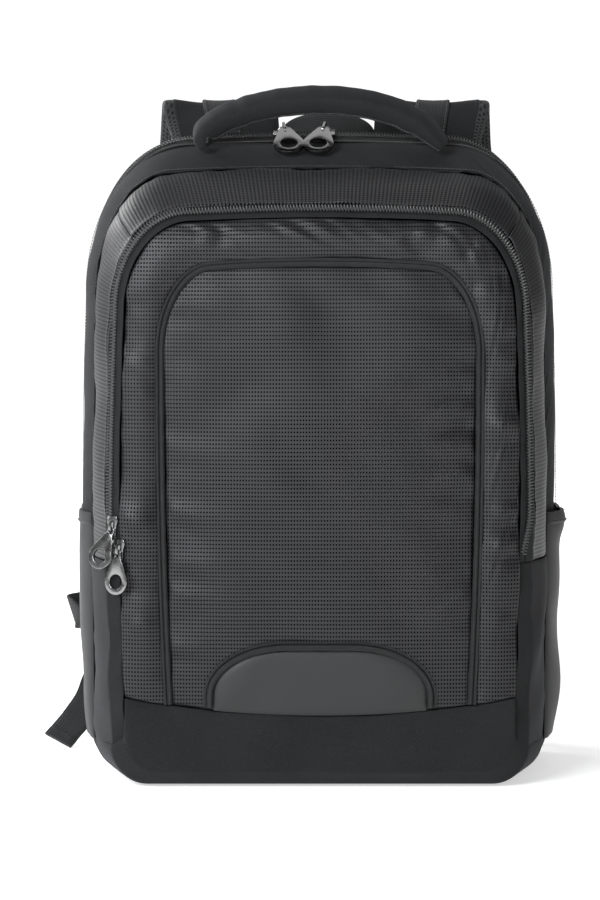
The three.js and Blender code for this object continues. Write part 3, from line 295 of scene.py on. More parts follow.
def smoothCurve(rows, count):
    # a smooth curve through rows, with count + 1 points
    rows = np.asarray(rows, float)
    ends = np.concatenate([[2 * rows[0] - rows[1]], rows, [2 * rows[-1] - rows[-2]]])
    t = np.linspace(0, len(rows) - 1, count + 1)
    i = np.minimum(t.astype(int), len(rows) - 2)
    f = (t - i)[:, None]
    a, b, c, d = (ends[i + n] for n in range(4))
    square = 2 * a - 5 * b + 4 * c - d
    cube = 3 * b - a - 3 * c + d
    return 0.5 * (2 * b + (c - a) * f + square * f ** 2 + cube * f ** 3)


def edgeSpaced(length, step, fine=(0.35, 0.8, 1.4, 2.2, 3.2)):
    # shares from 0 to 1 that crowd together at both ends, for the roll of a seam
    fine = [f for f in fine if f < length * 0.3]
    start = np.array([0] + fine)
    middle = np.linspace(start[-1], length - start[-1], max(int((length - 2 * start[-1]) / step), 1) + 1)
    return np.concatenate([start[:-1], middle, (length - start[:-1])[::-1]]) / length


# cloth that isn't flat

def waves(seed, shortest, longest, count=7):
    # a smooth random function of a length, about -1 to 1
    rng = np.random.default_rng(seed)
    lengths = rng.uniform(shortest, longest, count)
    phases = rng.uniform(0, 2 * np.pi, count)
    return lambda x: sum(np.sin(2 * np.pi * x / l + p) for l, p in zip(lengths, phases)) / math.sqrt(count)


def cloud(seed, size, count=9):
    # a smooth random function of a place, about -1 to 1
    rng = np.random.default_rng(seed)
    directions = unit(rng.normal(size=(count, 3))) * 2 * np.pi / (size * rng.uniform(0.7, 1.6, (count, 1)))
    phases = rng.uniform(0, 2 * np.pi, count)
    return lambda p: sum(np.sin(p @ d + f) for d, f in zip(directions, phases)) / math.sqrt(count)


def seamRoll(distance, depth=1.1, reach=0.9):
    # cloth turns in at a seam
    return -depth * np.exp(-distance / reach)


def puckers(along, distance, seed, height=0.5, reach=9, shortest=9, longest=26):
    # small gathers that start at a seam and die away from it
    return height * waves(seed, shortest, longest)(along) * np.exp(-distance / reach)


def drags(along, distance, seed, height=0.8, reach=24, slant=0.5):
    # broad folds pulled from a seam into the panel, strong in some places and absent in others
    rng = np.random.default_rng(seed)
    total = 0 * along
    for length in rng.uniform(16, 34, 4):
        lean = slant * rng.uniform(-0.3, 1.2)
        total = total + np.sin(2 * np.pi * (along + lean * distance) / length + rng.uniform(0, 6.28))
    here = smoothStep(waves(seed + 500, 70, 160, 4)(along), -0.4, 0.9)
    rise = smoothStep(distance, 0, 4)
    return height * 0.5 * total * here * rise * np.exp(-distance / reach)


def foldsAt(x, z, rows):
    # each fold starts at x, z, runs at an angle for its length, and is a ridge or a dent with a soft foot
    total = 0 * x
    for fromX, fromZ, angle, length, reach, height in rows:
        c, s = math.cos(math.radians(angle)), math.sin(math.radians(angle))
        t = ((x - fromX) * c + (z - fromZ) * s) / length
        off = (z - fromZ) * c - (x - fromX) * s
        spread = reach * (0.95 + 0.8 * np.clip(t, 0, 1))
        total = total + height * bump(off, spread) * smoothStep(t, -0.12, 0.15) * (1 - smoothStep(t, 0.35, 1))
    return total


def bodyGrid(low, high, ringLow, ringHigh, step, stepAcross=None):
    # the grid of a panel between two rings: s, ring, points and the lengths along and across, in mm
    rings = np.array([ringLow, ringHigh])
    middle = (ringLow + ringHigh) / 2
    ends = [(low(r), high(r)) for r in (*rings, middle)]
    s0, s1 = ends[2]
    trial = np.linspace(s0, s1, 900)
    trialLengths = lengthsOf(bodyPoint(trial, middle))
    shares = edgeSpaced(trialLengths[-1], step)
    g = (np.interp(shares * trialLengths[-1], trialLengths, trial) - s0) / (s1 - s0)
    midS = (s0 + s1) / 2
    width = lengthsOf(bodyPoint(midS, np.linspace(ringLow, ringHigh, 60)))[-1]
    v = edgeSpaced(width, stepAcross or step)
    ring = lerp(ringLow, ringHigh, v)[None, :]
    lows = np.array([low(r) for r in ring[0]])[None, :]
    highs = np.array([high(r) for r in ring[0]])[None, :]
    s = lerp(lows, highs, g[:, None])
    ring = ring + 0 * s
    points = bodyPoint(s, ring)
    along = np.cumsum(np.linalg.norm(np.diff(points, axis=0, prepend=points[:1]), axis=-1), axis=0)
    across = np.cumsum(np.linalg.norm(np.diff(points, axis=1, prepend=points[:, :1]), axis=-1), axis=1)
    return {"s": s, "ring": ring, "points": points, "along": along, "across": across,
            "length": along[-1:], "width": across[:, -1:], "normals": outwardNormals(points)}


def distanceToRim(x, z):
    # how far each point of a flat grid lies from the grid's edge, worked out in parts to save memory
    sides = [(x[:, 0], z[:, 0]), (x[:, -1], z[:, -1]), (x[-1], z[-1]), (x[0], z[0])]
    rim = np.concatenate([np.stack(side, axis=-1) for side in sides])
    flat = np.stack([x, z], axis=-1).reshape(-1, 2)
    nearest = np.full(len(flat), np.inf)
    for part in np.array_split(rim, 12):
        away = np.linalg.norm(flat[:, None] - part[None], axis=-1).min(axis=1)
        nearest = np.minimum(nearest, away)
    return nearest.reshape(x.shape)


def outwardNormals(points):
    normals = gridNormals(points)
    if np.sum(normals * (points - bagCentre), axis=-1).mean() < 0:
        normals = -normals
    return normals


def edgeDistances(grid):
    fromRear = grid["across"]
    fromFront = grid["width"] - grid["across"]
    ends = np.minimum(grid["along"], grid["length"] - grid["along"])
    return fromRear, fromFront, ends


def uvOf(grid):
    middle = grid["along"][:, grid["along"].shape[1] // 2][:, None] + 0 * grid["along"]
    return np.stack([middle, grid["across"]], axis=-1)


def raised(grid, relief):
    return grid["points"] + grid["normals"] * relief[..., None]


# materials

def inputTo(tree, socket, value):
    if isinstance(value, bpy.types.NodeSocket):
        tree.links.new(value, socket)
    elif value is not None:
        socket.default_value = value


def calc(tree, operation, *values):
    node = tree.nodes.new("ShaderNodeMath")
    node.operation = operation
    for socket, value in zip(node.inputs, values):
        inputTo(tree, socket, value)
    return node.outputs[0]


def mapped(tree, value, fromLow, fromHigh, toLow, toHigh, smooth=True):
    node = tree.nodes.new("ShaderNodeMapRange")
    node.interpolation_type = "SMOOTHSTEP" if smooth else "LINEAR"
    for name, v in (("Value", value), ("From Min", fromLow), ("From Max", fromHigh),
                    ("To Min", toLow), ("To Max", toHigh)):
        inputTo(tree, node.inputs[name], v)
    return node.outputs["Result"]


def noise(tree, vector, scale, detail=2.0, roughness=0.5):
    node = tree.nodes.new("ShaderNodeTexNoise")
    inputTo(tree, node.inputs["Vector"], vector)
    node.inputs["Scale"].default_value = scale
    node.inputs["Detail"].default_value = detail
    node.inputs["Roughness"].default_value = roughness
    return node.outputs["Fac"]


def mixed(tree, factor, a, b):
    node = tree.nodes.new("ShaderNodeMix")
    node.data_type = "RGBA"
    inputTo(tree, node.inputs[0], factor)
    inputTo(tree, node.inputs[6], a)
    inputTo(tree, node.inputs[7], b)
    return node.outputs[2]


def bumpNode(tree, height, distance, normal=None, strength=1.0):
    node = tree.nodes.new("ShaderNodeBump")
    node.inputs["Distance"].default_value = distance * mm
    node.inputs["Strength"].default_value = strength
    inputTo(tree, node.inputs["Height"], height)
    inputTo(tree, node.inputs["Normal"], normal)
    return node.outputs["Normal"]


def clothUV(tree):
    # the piece's own UV map, in millimetres
    node = tree.nodes.new("ShaderNodeUVMap")
    node.uv_map = "cloth"
    split = tree.nodes.new("ShaderNodeSeparateXYZ")
    tree.links.new(node.outputs["UV"], split.inputs[0])
    return split.outputs["X"], split.outputs["Y"]


def objectPlace(tree):
    return tree.nodes.new("ShaderNodeTexCoord").outputs["Object"]


def grey(value, tint=(1, 1, 1)):
    return (value * tint[0], value * tint[1], value * tint[2], 1)


def newMaterial(name, settings):
    material = bpy.data.materials.new(name)
    material.use_nodes = True
    tree = material.node_tree
    shader = tree.nodes["Principled BSDF"]
    for socket, value in settings.items():
        shader.inputs[socket].default_value = value
    return material, tree, shader


def periodic(tree, value, pitch, offset=0.0):
    # from -0.5 to 0.5 in each step of the pattern
    scaled = calc(tree, "ADD", calc(tree, "DIVIDE", value, pitch), offset)
    return calc(tree, "SUBTRACT", calc(tree, "FRACT", scaled), 0.5)


def lengthOf(tree, x, y):
    squares = calc(tree, "ADD", calc(tree, "MULTIPLY", x, x), calc(tree, "MULTIPLY", y, y))
    return calc(tree, "SQRT", squares)


# dot and dotShade: the dots are the cloth's woven pattern, and their near-black colour is painted shade in
# the small hollows of the weave
dobby = {"pitchX": 2.1, "pitchY": 2.8, "dot": 0.74, "rib": 0.7, "base": 0.0135, "dotShade": 0.05,
         "roughness": 0.45, "shine": 0.42, "dotShine": 0.02}


def patternedNylon():
    material, tree, shader = newMaterial("patterned nylon", {
        "Roughness": dobby["roughness"], "Sheen Weight": 0.02,
        "Sheen Roughness": 0.35, "Sheen Tint": (0.85, 0.92, 1, 1)})
    x, y = clothUV(tree)
    px = calc(tree, "MULTIPLY", periodic(tree, x, dobby["pitchX"]), dobby["pitchX"])
    py = calc(tree, "MULTIPLY", periodic(tree, y, dobby["pitchY"]), dobby["pitchY"] * 0.8)
    away = lengthOf(tree, px, py)
    dot = mapped(tree, away, dobby["dot"] * 0.5, dobby["dot"], 1.0, 0.0)
    thread = calc(tree, "SINE", calc(tree, "MULTIPLY", y, 2 * math.pi / dobby["pitchY"]))
    rib = calc(tree, "SINE", calc(tree, "MULTIPLY", x, 2 * math.pi / dobby["rib"]))
    place = objectPlace(tree)
    large = noise(tree, place, 16.0, 3.0)
    shade = mapped(tree, large, 0.3, 0.7, 0.86, 1.12)
    plain = mixed(tree, shade, grey(0.0), grey(dobby["base"], (1.0, 0.99, 1.1)))
    # the dots get a near-black colour: painted shade in the hollows of the weave
    colour = mixed(tree, dot, plain, grey(dobby["base"] * dobby["dotShade"], (0.95, 1, 1.1)))
    inputTo(tree, shader.inputs["Base Color"], colour)
    rough = calc(tree, "ADD", mapped(tree, large, 0.3, 0.7, -0.04, 0.05), dobby["roughness"])
    inputTo(tree, shader.inputs["Roughness"], rough)
    shine = mapped(tree, dot, 0.0, 1.0, dobby["shine"], dobby["dotShine"], smooth=False)
    inputTo(tree, shader.inputs["Specular IOR Level"], shine)
    weave = calc(tree, "ADD", calc(tree, "MULTIPLY", rib, 0.12), calc(tree, "MULTIPLY", dot, -0.5))
    weave = calc(tree, "ADD", weave, calc(tree, "MULTIPLY", thread, 0.12))
    soft = bumpNode(tree, noise(tree, place, 90.0, 3.0), 0.35, strength=0.6)
    inputTo(tree, shader.inputs["Normal"], bumpNode(tree, weave, 0.16, soft))
    return material


def plainCloth(name="plain cloth", base=0.0115, onObject=False):
    material, tree, shader = newMaterial(name, {
        "Roughness": 0.8, "Specular IOR Level": 0.2, "Sheen Weight": 0.05, "Sheen Roughness": 0.5,
        "Sheen Tint": (0.9, 0.92, 1, 1)})
    place = objectPlace(tree)
    if onObject:
        split = tree.nodes.new("ShaderNodeSeparateXYZ")
        tree.links.new(place, split.inputs[0])
        x = calc(tree, "MULTIPLY", split.outputs["X"], 1000.0)
        y = calc(tree, "MULTIPLY", split.outputs["Z"], 1000.0)
    else:
        x, y = clothUV(tree)
    slant = calc(tree, "ADD", x, calc(tree, "MULTIPLY", y, 1.0))
    twill = calc(tree, "SINE", calc(tree, "MULTIPLY", slant, 2 * math.pi / 1.3))
    warp = calc(tree, "SINE", calc(tree, "MULTIPLY", x, 2 * math.pi / 0.8))
    weave = calc(tree, "ADD", calc(tree, "MULTIPLY", twill, 0.5), calc(tree, "MULTIPLY", warp, 0.3))
    fine = noise(tree, place, 1100.0, 2.0, 0.6)
    large = noise(tree, place, 22.0, 3.0)
    speck = mapped(tree, fine, 0.52, 0.68, 0.0, 1.0)
    shade = calc(tree, "ADD", mapped(tree, large, 0.3, 0.7, 0.82, 1.1), calc(tree, "MULTIPLY", weave, 0.1))
    plain = mixed(tree, shade, grey(0.0), grey(base, (0.98, 1, 1.04)))
    speckled = mixed(tree, calc(tree, "MULTIPLY", speck, 0.5), plain, grey(base * 2.2))
    inputTo(tree, shader.inputs["Base Color"], speckled)
    height = calc(tree, "ADD", calc(tree, "MULTIPLY", weave, 0.5), fine)
    soft = bumpNode(tree, noise(tree, place, 120.0, 3.0), 0.3, strength=0.5)
    inputTo(tree, shader.inputs["Normal"], bumpNode(tree, height, 0.14, soft))
    return material


def smoothCloth():
    material, tree, shader = newMaterial("smooth coated cloth", {
        "Specular IOR Level": 0.38, "Coat Weight": 0.04, "Coat Roughness": 0.35})
    place = objectPlace(tree)
    large = noise(tree, place, 14.0, 4.0)
    fine = noise(tree, place, 700.0, 2.0)
    shade = mapped(tree, large, 0.3, 0.7, 0.88, 1.08)
    inputTo(tree, shader.inputs["Base Color"], mixed(tree, shade, grey(0.0), grey(0.021, (1.0, 1.0, 1.02))))
    inputTo(tree, shader.inputs["Roughness"], mapped(tree, large, 0.3, 0.7, 0.46, 0.56))
    soft = bumpNode(tree, noise(tree, place, 60.0, 3.0), 0.25, strength=0.4)
    inputTo(tree, shader.inputs["Normal"], bumpNode(tree, fine, 0.05, soft))
    return material


def webbingCloth(name="webbing", base=0.011, pitch=1.5):
    material, tree, shader = newMaterial(name, {
        "Roughness": 0.68, "Specular IOR Level": 0.3, "Sheen Weight": 0.08, "Sheen Roughness": 0.5})
    x, y = clothUV(tree)
    place = objectPlace(tree)
    lane = calc(tree, "SINE", calc(tree, "MULTIPLY", y, 2 * math.pi / (pitch * 1.6)))
    bent = calc(tree, "ADD", x, calc(tree, "MULTIPLY", lane, 0.35))
    rib = calc(tree, "SINE", calc(tree, "MULTIPLY", bent, 2 * math.pi / pitch))
    height = calc(tree, "ADD", calc(tree, "MULTIPLY", rib, 0.6), calc(tree, "MULTIPLY", lane, 0.3))
    shade = calc(tree, "ADD", mapped(tree, noise(tree, place, 60.0, 3.0), 0.3, 0.7, 0.75, 1.1),
                 calc(tree, "MULTIPLY", height, 0.22))
    colour = mixed(tree, shade, grey(0.0), grey(base * 1.25, (0.97, 1, 1.05)))
    inputTo(tree, shader.inputs["Base Color"], colour)
    inputTo(tree, shader.inputs["Normal"], bumpNode(tree, height, 0.25))
    return material


def pipingCloth():
    material, tree, shader = newMaterial("piping cloth", {
        "Roughness": 0.52, "Specular IOR Level": 0.36, "Sheen Weight": 0.04, "Sheen Roughness": 0.5})
    x, y = clothUV(tree)
    place = objectPlace(tree)
    slant = calc(tree, "ADD", x, calc(tree, "MULTIPLY", y, 0.8))
    rib = calc(tree, "SINE", calc(tree, "MULTIPLY", slant, 2 * math.pi / 1.1))
    shade = calc(tree, "ADD", mapped(tree, noise(tree, place, 80.0, 3.0), 0.3, 0.7, 0.8, 1.1),
                 calc(tree, "MULTIPLY", rib, 0.18))
    inputTo(tree, shader.inputs["Base Color"], mixed(tree, shade, grey(0.0), grey(0.012, (0.98, 1, 1.04))))
    inputTo(tree, shader.inputs["Normal"], bumpNode(tree, rib, 0.14))
    return material


def spacerMesh():
    material, tree, shader = newMaterial("spacer mesh", {
        "Roughness": 0.75, "Specular IOR Level": 0.25, "Sheen Weight": 0.1})
    x, y = clothUV(tree)
    pitch, rowPitch = 3.2, 2.6
    row = calc(tree, "FLOOR", calc(tree, "DIVIDE", y, rowPitch))
    shift = calc(tree, "MULTIPLY", calc(tree, "MODULO", row, 2.0), 0.5)
    px = calc(tree, "MULTIPLY", periodic(tree, x, pitch, shift), pitch)
    py = calc(tree, "MULTIPLY", periodic(tree, y, rowPitch), rowPitch * 1.1)
    away = lengthOf(tree, px, py)
    hole = mapped(tree, away, 0.75, 1.2, 1.0, 0.0)
    place = objectPlace(tree)
    shade = mapped(tree, noise(tree, place, 30.0, 3.0), 0.3, 0.7, 0.8, 1.1)
    knit = mixed(tree, shade, grey(0.0), grey(0.03, (0.98, 1, 1.03)))
    # the holes are painted nearly black: painted shade inside the holes of the mesh
    inputTo(tree, shader.inputs["Base Color"], mixed(tree, hole, knit, grey(0.004)))
    thread = calc(tree, "MULTIPLY", noise(tree, place, 1500.0, 2.0), 0.25)
    inputTo(tree, shader.inputs["Normal"], bumpNode(tree, calc(tree, "SUBTRACT", thread, hole), 0.7))
    return material


def nylonCoil():
    material, tree, shader = newMaterial("nylon coil", {"Specular IOR Level": 0.5})
    place = objectPlace(tree)
    fine = noise(tree, place, 500.0, 3.0)
    inputTo(tree, shader.inputs["Base Color"], mixed(tree, fine, grey(0.035), grey(0.065)))
    inputTo(tree, shader.inputs["Roughness"], mapped(tree, fine, 0.3, 0.7, 0.32, 0.42))
    return material


def mouldedPlastic():
    material, tree, shader = newMaterial("moulded plastic", {"Specular IOR Level": 0.45})
    place = objectPlace(tree)
    grain = noise(tree, place, 1400.0, 3.0)
    colour = mixed(tree, noise(tree, place, 40.0), grey(0.008), grey(0.016))
    inputTo(tree, shader.inputs["Base Color"], colour)
    inputTo(tree, shader.inputs["Roughness"], mapped(tree, grain, 0.3, 0.7, 0.34, 0.5))
    inputTo(tree, shader.inputs["Normal"], bumpNode(tree, grain, 0.05))
    return material


def gunmetal():
    material, tree, shader = newMaterial("gunmetal", {"Metallic": 1.0})
    place = objectPlace(tree)
    cloudy = noise(tree, place, 180.0, 4.0)
    fine = noise(tree, place, 2600.0, 3.0)
    inputTo(tree, shader.inputs["Base Color"], mixed(tree, cloudy, grey(0.2, (1, 0.99, 0.98)), grey(0.3)))
    inputTo(tree, shader.inputs["Roughness"], mapped(tree, cloudy, 0.3, 0.7, 0.14, 0.26))
    inputTo(tree, shader.inputs["Normal"], bumpNode(tree, fine, 0.012))
    return material


def sewingThread():
    material, tree, shader = newMaterial("sewing thread", {
        "Roughness": 0.5, "Specular IOR Level": 0.4, "Sheen Weight": 0.2})
    place = objectPlace(tree)
    colour = mixed(tree, noise(tree, place, 700.0), grey(0.035), grey(0.075))
    inputTo(tree, shader.inputs["Base Color"], colour)
    return material


finishes = {
    "patterned_nylon": patternedNylon(),
    "plain_cloth": plainCloth(),
    "smooth_cloth": smoothCloth(),
    "webbing": webbingCloth(),
    # the zip tape is black cloth, painted darker still than the other cloth as painted shade in the gaps
    # between the coil's teeth
    "zip_tape": webbingCloth("zip tape", 0.004, 0.9),
    "piping": pipingCloth(),
    "back_mesh": spacerMesh(),
    "coil": nylonCoil(),
    "buckle": mouldedPlastic(),
    "gunmetal": gunmetal(),
    "thread": sewingThread(),
    "inner_cloth": plainCloth("inner cloth", 0.02, onObject=True),
}
print("materials made:", len(finishes))


def dress(piece, finish, slot, *nodes):
    # gives a finished piece its material and its place in the frame
    piece.data.materials.clear()
    piece.data.materials.append(finishes[finish])
    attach(piece, body)
    if nodes:
        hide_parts(*nodes)
    return piece


# Geometry Nodes: copies of an item at equal steps along a path

def alongPathTree():
    tree = bpy.data.node_groups.new("items along a path", "GeometryNodeTree")
    face = tree.interface
    face.new_socket("Path", in_out="INPUT", socket_type="NodeSocketGeometry")
    face.new_socket("Item", in_out="INPUT", socket_type="NodeSocketObject")
    face.new_socket("Spacing", in_out="INPUT", socket_type="NodeSocketFloat")
    face.new_socket("Size", in_out="INPUT", socket_type="NodeSocketFloat")
    face.new_socket("Wobble", in_out="INPUT", socket_type="NodeSocketFloat")
    face.new_socket("Material", in_out="INPUT", socket_type="NodeSocketMaterial")
    face.new_socket("Result", in_out="OUTPUT", socket_type="NodeSocketGeometry")
    nodes, links = tree.nodes, tree.links
    start = nodes.new("NodeGroupInput")
    curve = nodes.new("GeometryNodeMeshToCurve")
    resample = nodes.new("GeometryNodeResampleCurve")
    resample.mode = "LENGTH"
    up = nodes.new("GeometryNodeInputNamedAttribute")
    up.data_type = "FLOAT_VECTOR"
    up.inputs["Name"].default_value = "up"
    tangent = nodes.new("GeometryNodeInputTangent")
    alongX = nodes.new("FunctionNodeAlignRotationToVector")
    alongX.axis = "X"
    upZ = nodes.new("FunctionNodeAlignRotationToVector")
    upZ.axis = "Z"
    upZ.pivot_axis = "X"
    wobble = nodes.new("FunctionNodeRandomValue")
    wobble.data_type = "FLOAT"
    wobble.inputs["Seed"].default_value = 7
    low = nodes.new("ShaderNodeMath")
    low.operation = "SUBTRACT"
    high = nodes.new("ShaderNodeMath")
    high.operation = "ADD"
    item = nodes.new("GeometryNodeObjectInfo")
    place = nodes.new("GeometryNodeInstanceOnPoints")
    realize = nodes.new("GeometryNodeRealizeInstances")
    paint = nodes.new("GeometryNodeSetMaterial")
    end = nodes.new("NodeGroupOutput")
    links.new(start.outputs["Path"], curve.inputs["Mesh"])
    links.new(curve.outputs["Curve"], resample.inputs["Curve"])
    links.new(start.outputs["Spacing"], resample.inputs["Length"])
    links.new(resample.outputs["Curve"], place.inputs["Points"])
    links.new(tangent.outputs["Tangent"], alongX.inputs["Vector"])
    links.new(alongX.outputs["Rotation"], upZ.inputs["Rotation"])
    links.new(up.outputs["Attribute"], upZ.inputs["Vector"])
    links.new(upZ.outputs["Rotation"], place.inputs["Rotation"])
    links.new(start.outputs["Item"], item.inputs["Object"])
    links.new(item.outputs["Geometry"], place.inputs["Instance"])
    for node, operation in ((low, "Min"), (high, "Max")):
        links.new(start.outputs["Size"], node.inputs[0])
        links.new(start.outputs["Wobble"], node.inputs[1])
        limit = next(i for i in wobble.inputs if i.name == operation and i.type == "VALUE")
        links.new(node.outputs[0], limit)
    size = next(o for o in wobble.outputs if o.type == "VALUE")
    links.new(size, place.inputs["Scale"])
    links.new(place.outputs["Instances"], realize.inputs["Geometry"])
    links.new(realize.outputs["Geometry"], paint.inputs["Geometry"])
    links.new(start.outputs["Material"], paint.inputs["Material"])
    links.new(paint.outputs["Geometry"], end.inputs["Result"])
    return tree


pathTree = alongPathTree()


def pathMesh(points, ups):
    mesh = bpy.data.meshes.new("path")
    edges = [(i, i + 1) for i in range(len(points) - 1)]
    mesh.from_pydata((np.asarray(points) * mm).tolist(), edges, [])
    attribute = mesh.attributes.new("up", "FLOAT_VECTOR", "POINT")
    attribute.data.foreach_set("vector", np.asarray(ups, dtype=np.float32).ravel())
    return mesh


def joined(name, things):
    # one mesh object from several
    mesh = bpy.data.meshes.new(name)
    whole = bmesh.new()
    for thing in things:
        whole.from_mesh(thing.data)
        bpy.data.objects.remove(thing)
    whole.to_mesh(mesh)
    whole.free()
    piece = bpy.data.objects.new(name, mesh)
    bpy.context.collection.objects.link(piece)
    return piece


def itemsAlong(name, paths, item, spacing, finish, size=1.0, wobble=0.0):
    # paths is a list of (points, ups); the modifier is gone once the plain mesh is made
    made = []
    for points, ups in paths:
        holder = bpy.data.objects.new(name + " path", pathMesh(points, ups))
        bpy.context.collection.objects.link(holder)
        modifier = holder.modifiers.new("items", "NODES")
        modifier.node_group = pathTree
        values = {"Item": item, "Spacing": spacing * mm, "Size": size, "Wobble": wobble,
                  "Material": finishes[finish]}
        for socket in pathTree.interface.items_tree:
            if socket.name in values:
                modifier[socket.identifier] = values[socket.name]
        bpy.context.view_layer.update()
        evaluated = holder.evaluated_get(bpy.context.evaluated_depsgraph_get())
        mesh = bpy.data.meshes.new_from_object(evaluated)
        bpy.data.objects.remove(holder)
        thing = bpy.data.objects.new(name + " part", mesh)
        bpy.context.collection.objects.link(thing)
        made.append(thing)
    piece = joined(name, made)
    piece.data.polygons.foreach_set("use_smooth", np.ones(len(piece.data.polygons), dtype=bool))
    return piece


def tube(points, radius, sides=5, taper=0.6):
    # a short bent rod for a tooth or a stitch, with narrowed ends
    points = np.asarray(points, float)
    along = unit(np.gradient(points, axis=0))
    side = unit(np.cross(along, np.array([0.0, 0.3, 1.0])))
    frames = (points, side, np.cross(side, along))
    widths = np.ones(len(points))
    widths[0] = widths[-1] = taper
    sections = roundSection(radius, radius, sides)[None] * widths[:, None, None]
    return sweep("rod", frames, sections)


coil = {"pitch": 2.2, "reach": 2.5, "wire": 0.56, "arch": 1.0, "overlap": 0.35}


def toothPair():
    # two loops of the coil, one from each side, half a step apart and leaning like a herringbone
    rods = []
    for side, ahead in ((-1, -0.25), (1, 0.25)):
        across = np.linspace(1, -coil["overlap"] / coil["reach"], 5)
        lean = 0.28 * coil["pitch"] * (1 - across)
        rise = coil["arch"] * np.sin(np.pi * np.clip(0.5 + 0.42 * (1 - across), 0, 1)) ** 0.5
        points = np.stack([coil["pitch"] * ahead + lean, side * across * coil["reach"], rise], axis=-1)
        rods.append(tube(points, coil["wire"], 6))
    return joined("tooth pair", rods)


stitch = {"length": 1.7, "step": 2.3, "wire": 0.3, "wobble": 0.08, "backStep": 3.0, "backSize": 1.15}


def stitchItem():
    half = stitch["length"] / 2
    points = [(-half, 0, -0.25), (-half * 0.7, 0, 0.12), (half * 0.7, 0, 0.12), (half, 0, -0.25)]
    return tube(points, stitch["wire"], 4)


def bodyPath(s, ring, height):
    s = np.asarray(s, float)
    ring = np.asarray(ring, float) + 0 * s
    normals = bodyNormal(s, ring)
    return bodyPoint(s, ring) + normals * height, normals


# the panels over the sides and top of the main compartment
mainStrips = {"gussetTop": 160, "tapeWidth": 11, "tapeSink": 0.6, "tapeWall": 1.0, "crown": 3.2, "dip": 1.2,
              "step": 2.6}
gapAlong = cloth["gap"] / 2 / (loopShoulder(seamLoop) - loopFoot(seamLoop))
tapeBehind = shareOfSpan(mainStrips["tapeWidth"] / 2, backLoop)
tapeBefore = shareOfSpan(mainStrips["tapeWidth"] / 2, topZipLoop)


def upperLow(ring):
    return sideAt(mainStrips["gussetTop"], ring) + gapAlong


def upperHigh(ring):
    return mirrorS(upperLow(ring))


def topLean(s):
    # the top zip lies on the front slope of the crown, so it leans forward there
    return smoothStep(np.minimum(s, mirrorS(s)), 3.2, 4.0)


def zipEdge(distance, rise=0.9):
    # the folded edge of cloth beside a zip stands a little proud, then drops to the tape
    return rise * bump(distance - 1.2, 1.5) - 1.0 * np.exp(-distance / 0.5)


def mainPanels():
    step = mainStrips["step"]
    soft = cloud(3, 60)
    grid = bodyGrid(upperLow, upperHigh, backLoop, topZipLoop - tapeBehind - gapAcross(backLoop), step)
    fromRear, fromFront, ends = edgeDistances(grid)
    relief = seamRoll(fromRear, 1.0) + zipEdge(fromFront, 0.5) + seamRoll(ends, 0.6)
    relief = relief + mainStrips["crown"] * topLean(grid["s"]) * smoothStep(fromRear, 0, 26)
    relief = relief + puckers(grid["along"], fromRear, 11, 0.35, 10) + 0.5 * soft(grid["points"])
    dress(closedSheet("rear_strip", raised(grid, relief), cloth["nylon"], uvOf(grid)),
          "plain_cloth", "plain_cloth", "main_gusset_rear")
    grid = bodyGrid(upperLow, upperHigh, topZipLoop + tapeBefore + gapAcross(topZipLoop),
                    seamLoop - gapAcross(topZipLoop), step)
    fromRear, fromFront, ends = edgeDistances(grid)
    relief = zipEdge(fromRear, 0.4) + seamRoll(fromFront, 0.5, 0.5) + seamRoll(ends, 0.6)
    relief = relief - mainStrips["dip"] * topLean(grid["s"]) * np.exp(-fromRear / 6)
    relief = relief - 0.3 * bump(fromRear - 5.2, 0.8) - 0.25 * bump(fromFront - 1.6, 0.6)
    relief = relief - 3.6 * topLean(grid["s"]) * np.sin(np.pi * np.clip(grid["ring"] - topZipLoop, 0, 1))
    relief = relief + puckers(grid["along"], fromFront, 12, 0.55, 9) + 0.7 * soft(grid["points"])
    dress(closedSheet("front_strip", raised(grid, relief), cloth["nylon"], uvOf(grid)),
          "plain_cloth", "plain_cloth", "main_gusset_front")
    grid = bodyGrid(upperLow, upperHigh, topZipLoop - tapeBehind, topZipLoop + tapeBefore, step, 1.0)
    lean = lerp(mainStrips["crown"], -mainStrips["dip"], grid["across"] / grid["width"])
    relief = -mainStrips["tapeSink"] + topLean(grid["s"]) * lean
    dress(closedSheet("top_zip_tape", raised(grid, relief), mainStrips["tapeWall"], uvOf(grid)),
          "zip_tape", "webbing", "main_zip_tape")
    base = bodyGrid(lambda ring: gapAlong - sideAt(mainStrips["gussetTop"], ring),
                    lambda ring: sideAt(mainStrips["gussetTop"], ring) - gapAlong,
                    backLoop, seamLoop - gapAcross(topZipLoop), 3.4)
    fromRear, fromFront, ends = edgeDistances(base)
    standing = smoothStep(base["points"][..., 2], 3, 25)
    relief = standing * (seamRoll(fromRear, 1.0) + seamRoll(fromFront, 1.4) + seamRoll(ends, 0.5))
    dress(closedSheet("base_strip", raised(base, relief), cloth["nylon"], uvOf(base)),
          "plain_cloth", "plain_cloth", "base_gusset")


mainPanels()
print("main compartment made")

# the front compartment
front = {"cornerPanelTop": 159, "bandMiddle": 51.6, "bandEdge": 64, "bandBulge": 3, "dome": 8,
         "coilRing": 3.32, "coilEndRing": 3.84, "coilBend": 34, "step": 2.3,
         "foldAt": 0.54, "tapeSink": 0.7, "tapeWall": 0.8, "bindingWall": 0.9}
cornerSeam = 3.5


def frontLow(ring):
    return sideAt(front["cornerPanelTop"], ring) + gapAlong


def gussetRelief(grid, seed, height=0.4):
    fromRear, fromFront, ends = edgeDistances(grid)
    relief = seamRoll(fromRear, 1.1, 2.4) + zipEdge(fromFront, 0.8) + seamRoll(ends, 0.9, 0.8)
    relief = relief + puckers(grid["along"], fromRear, seed, height, 9, 12, 45)
    relief = relief + puckers(grid["along"], fromFront, seed + 1, height * 0.7, 7, 10, 36)
    relief = relief + drags(grid["along"], fromRear, seed + 3, 0.45, 14, 0.3)
    return relief + 0.9 * cloud(seed + 2, 55)(grid["points"])


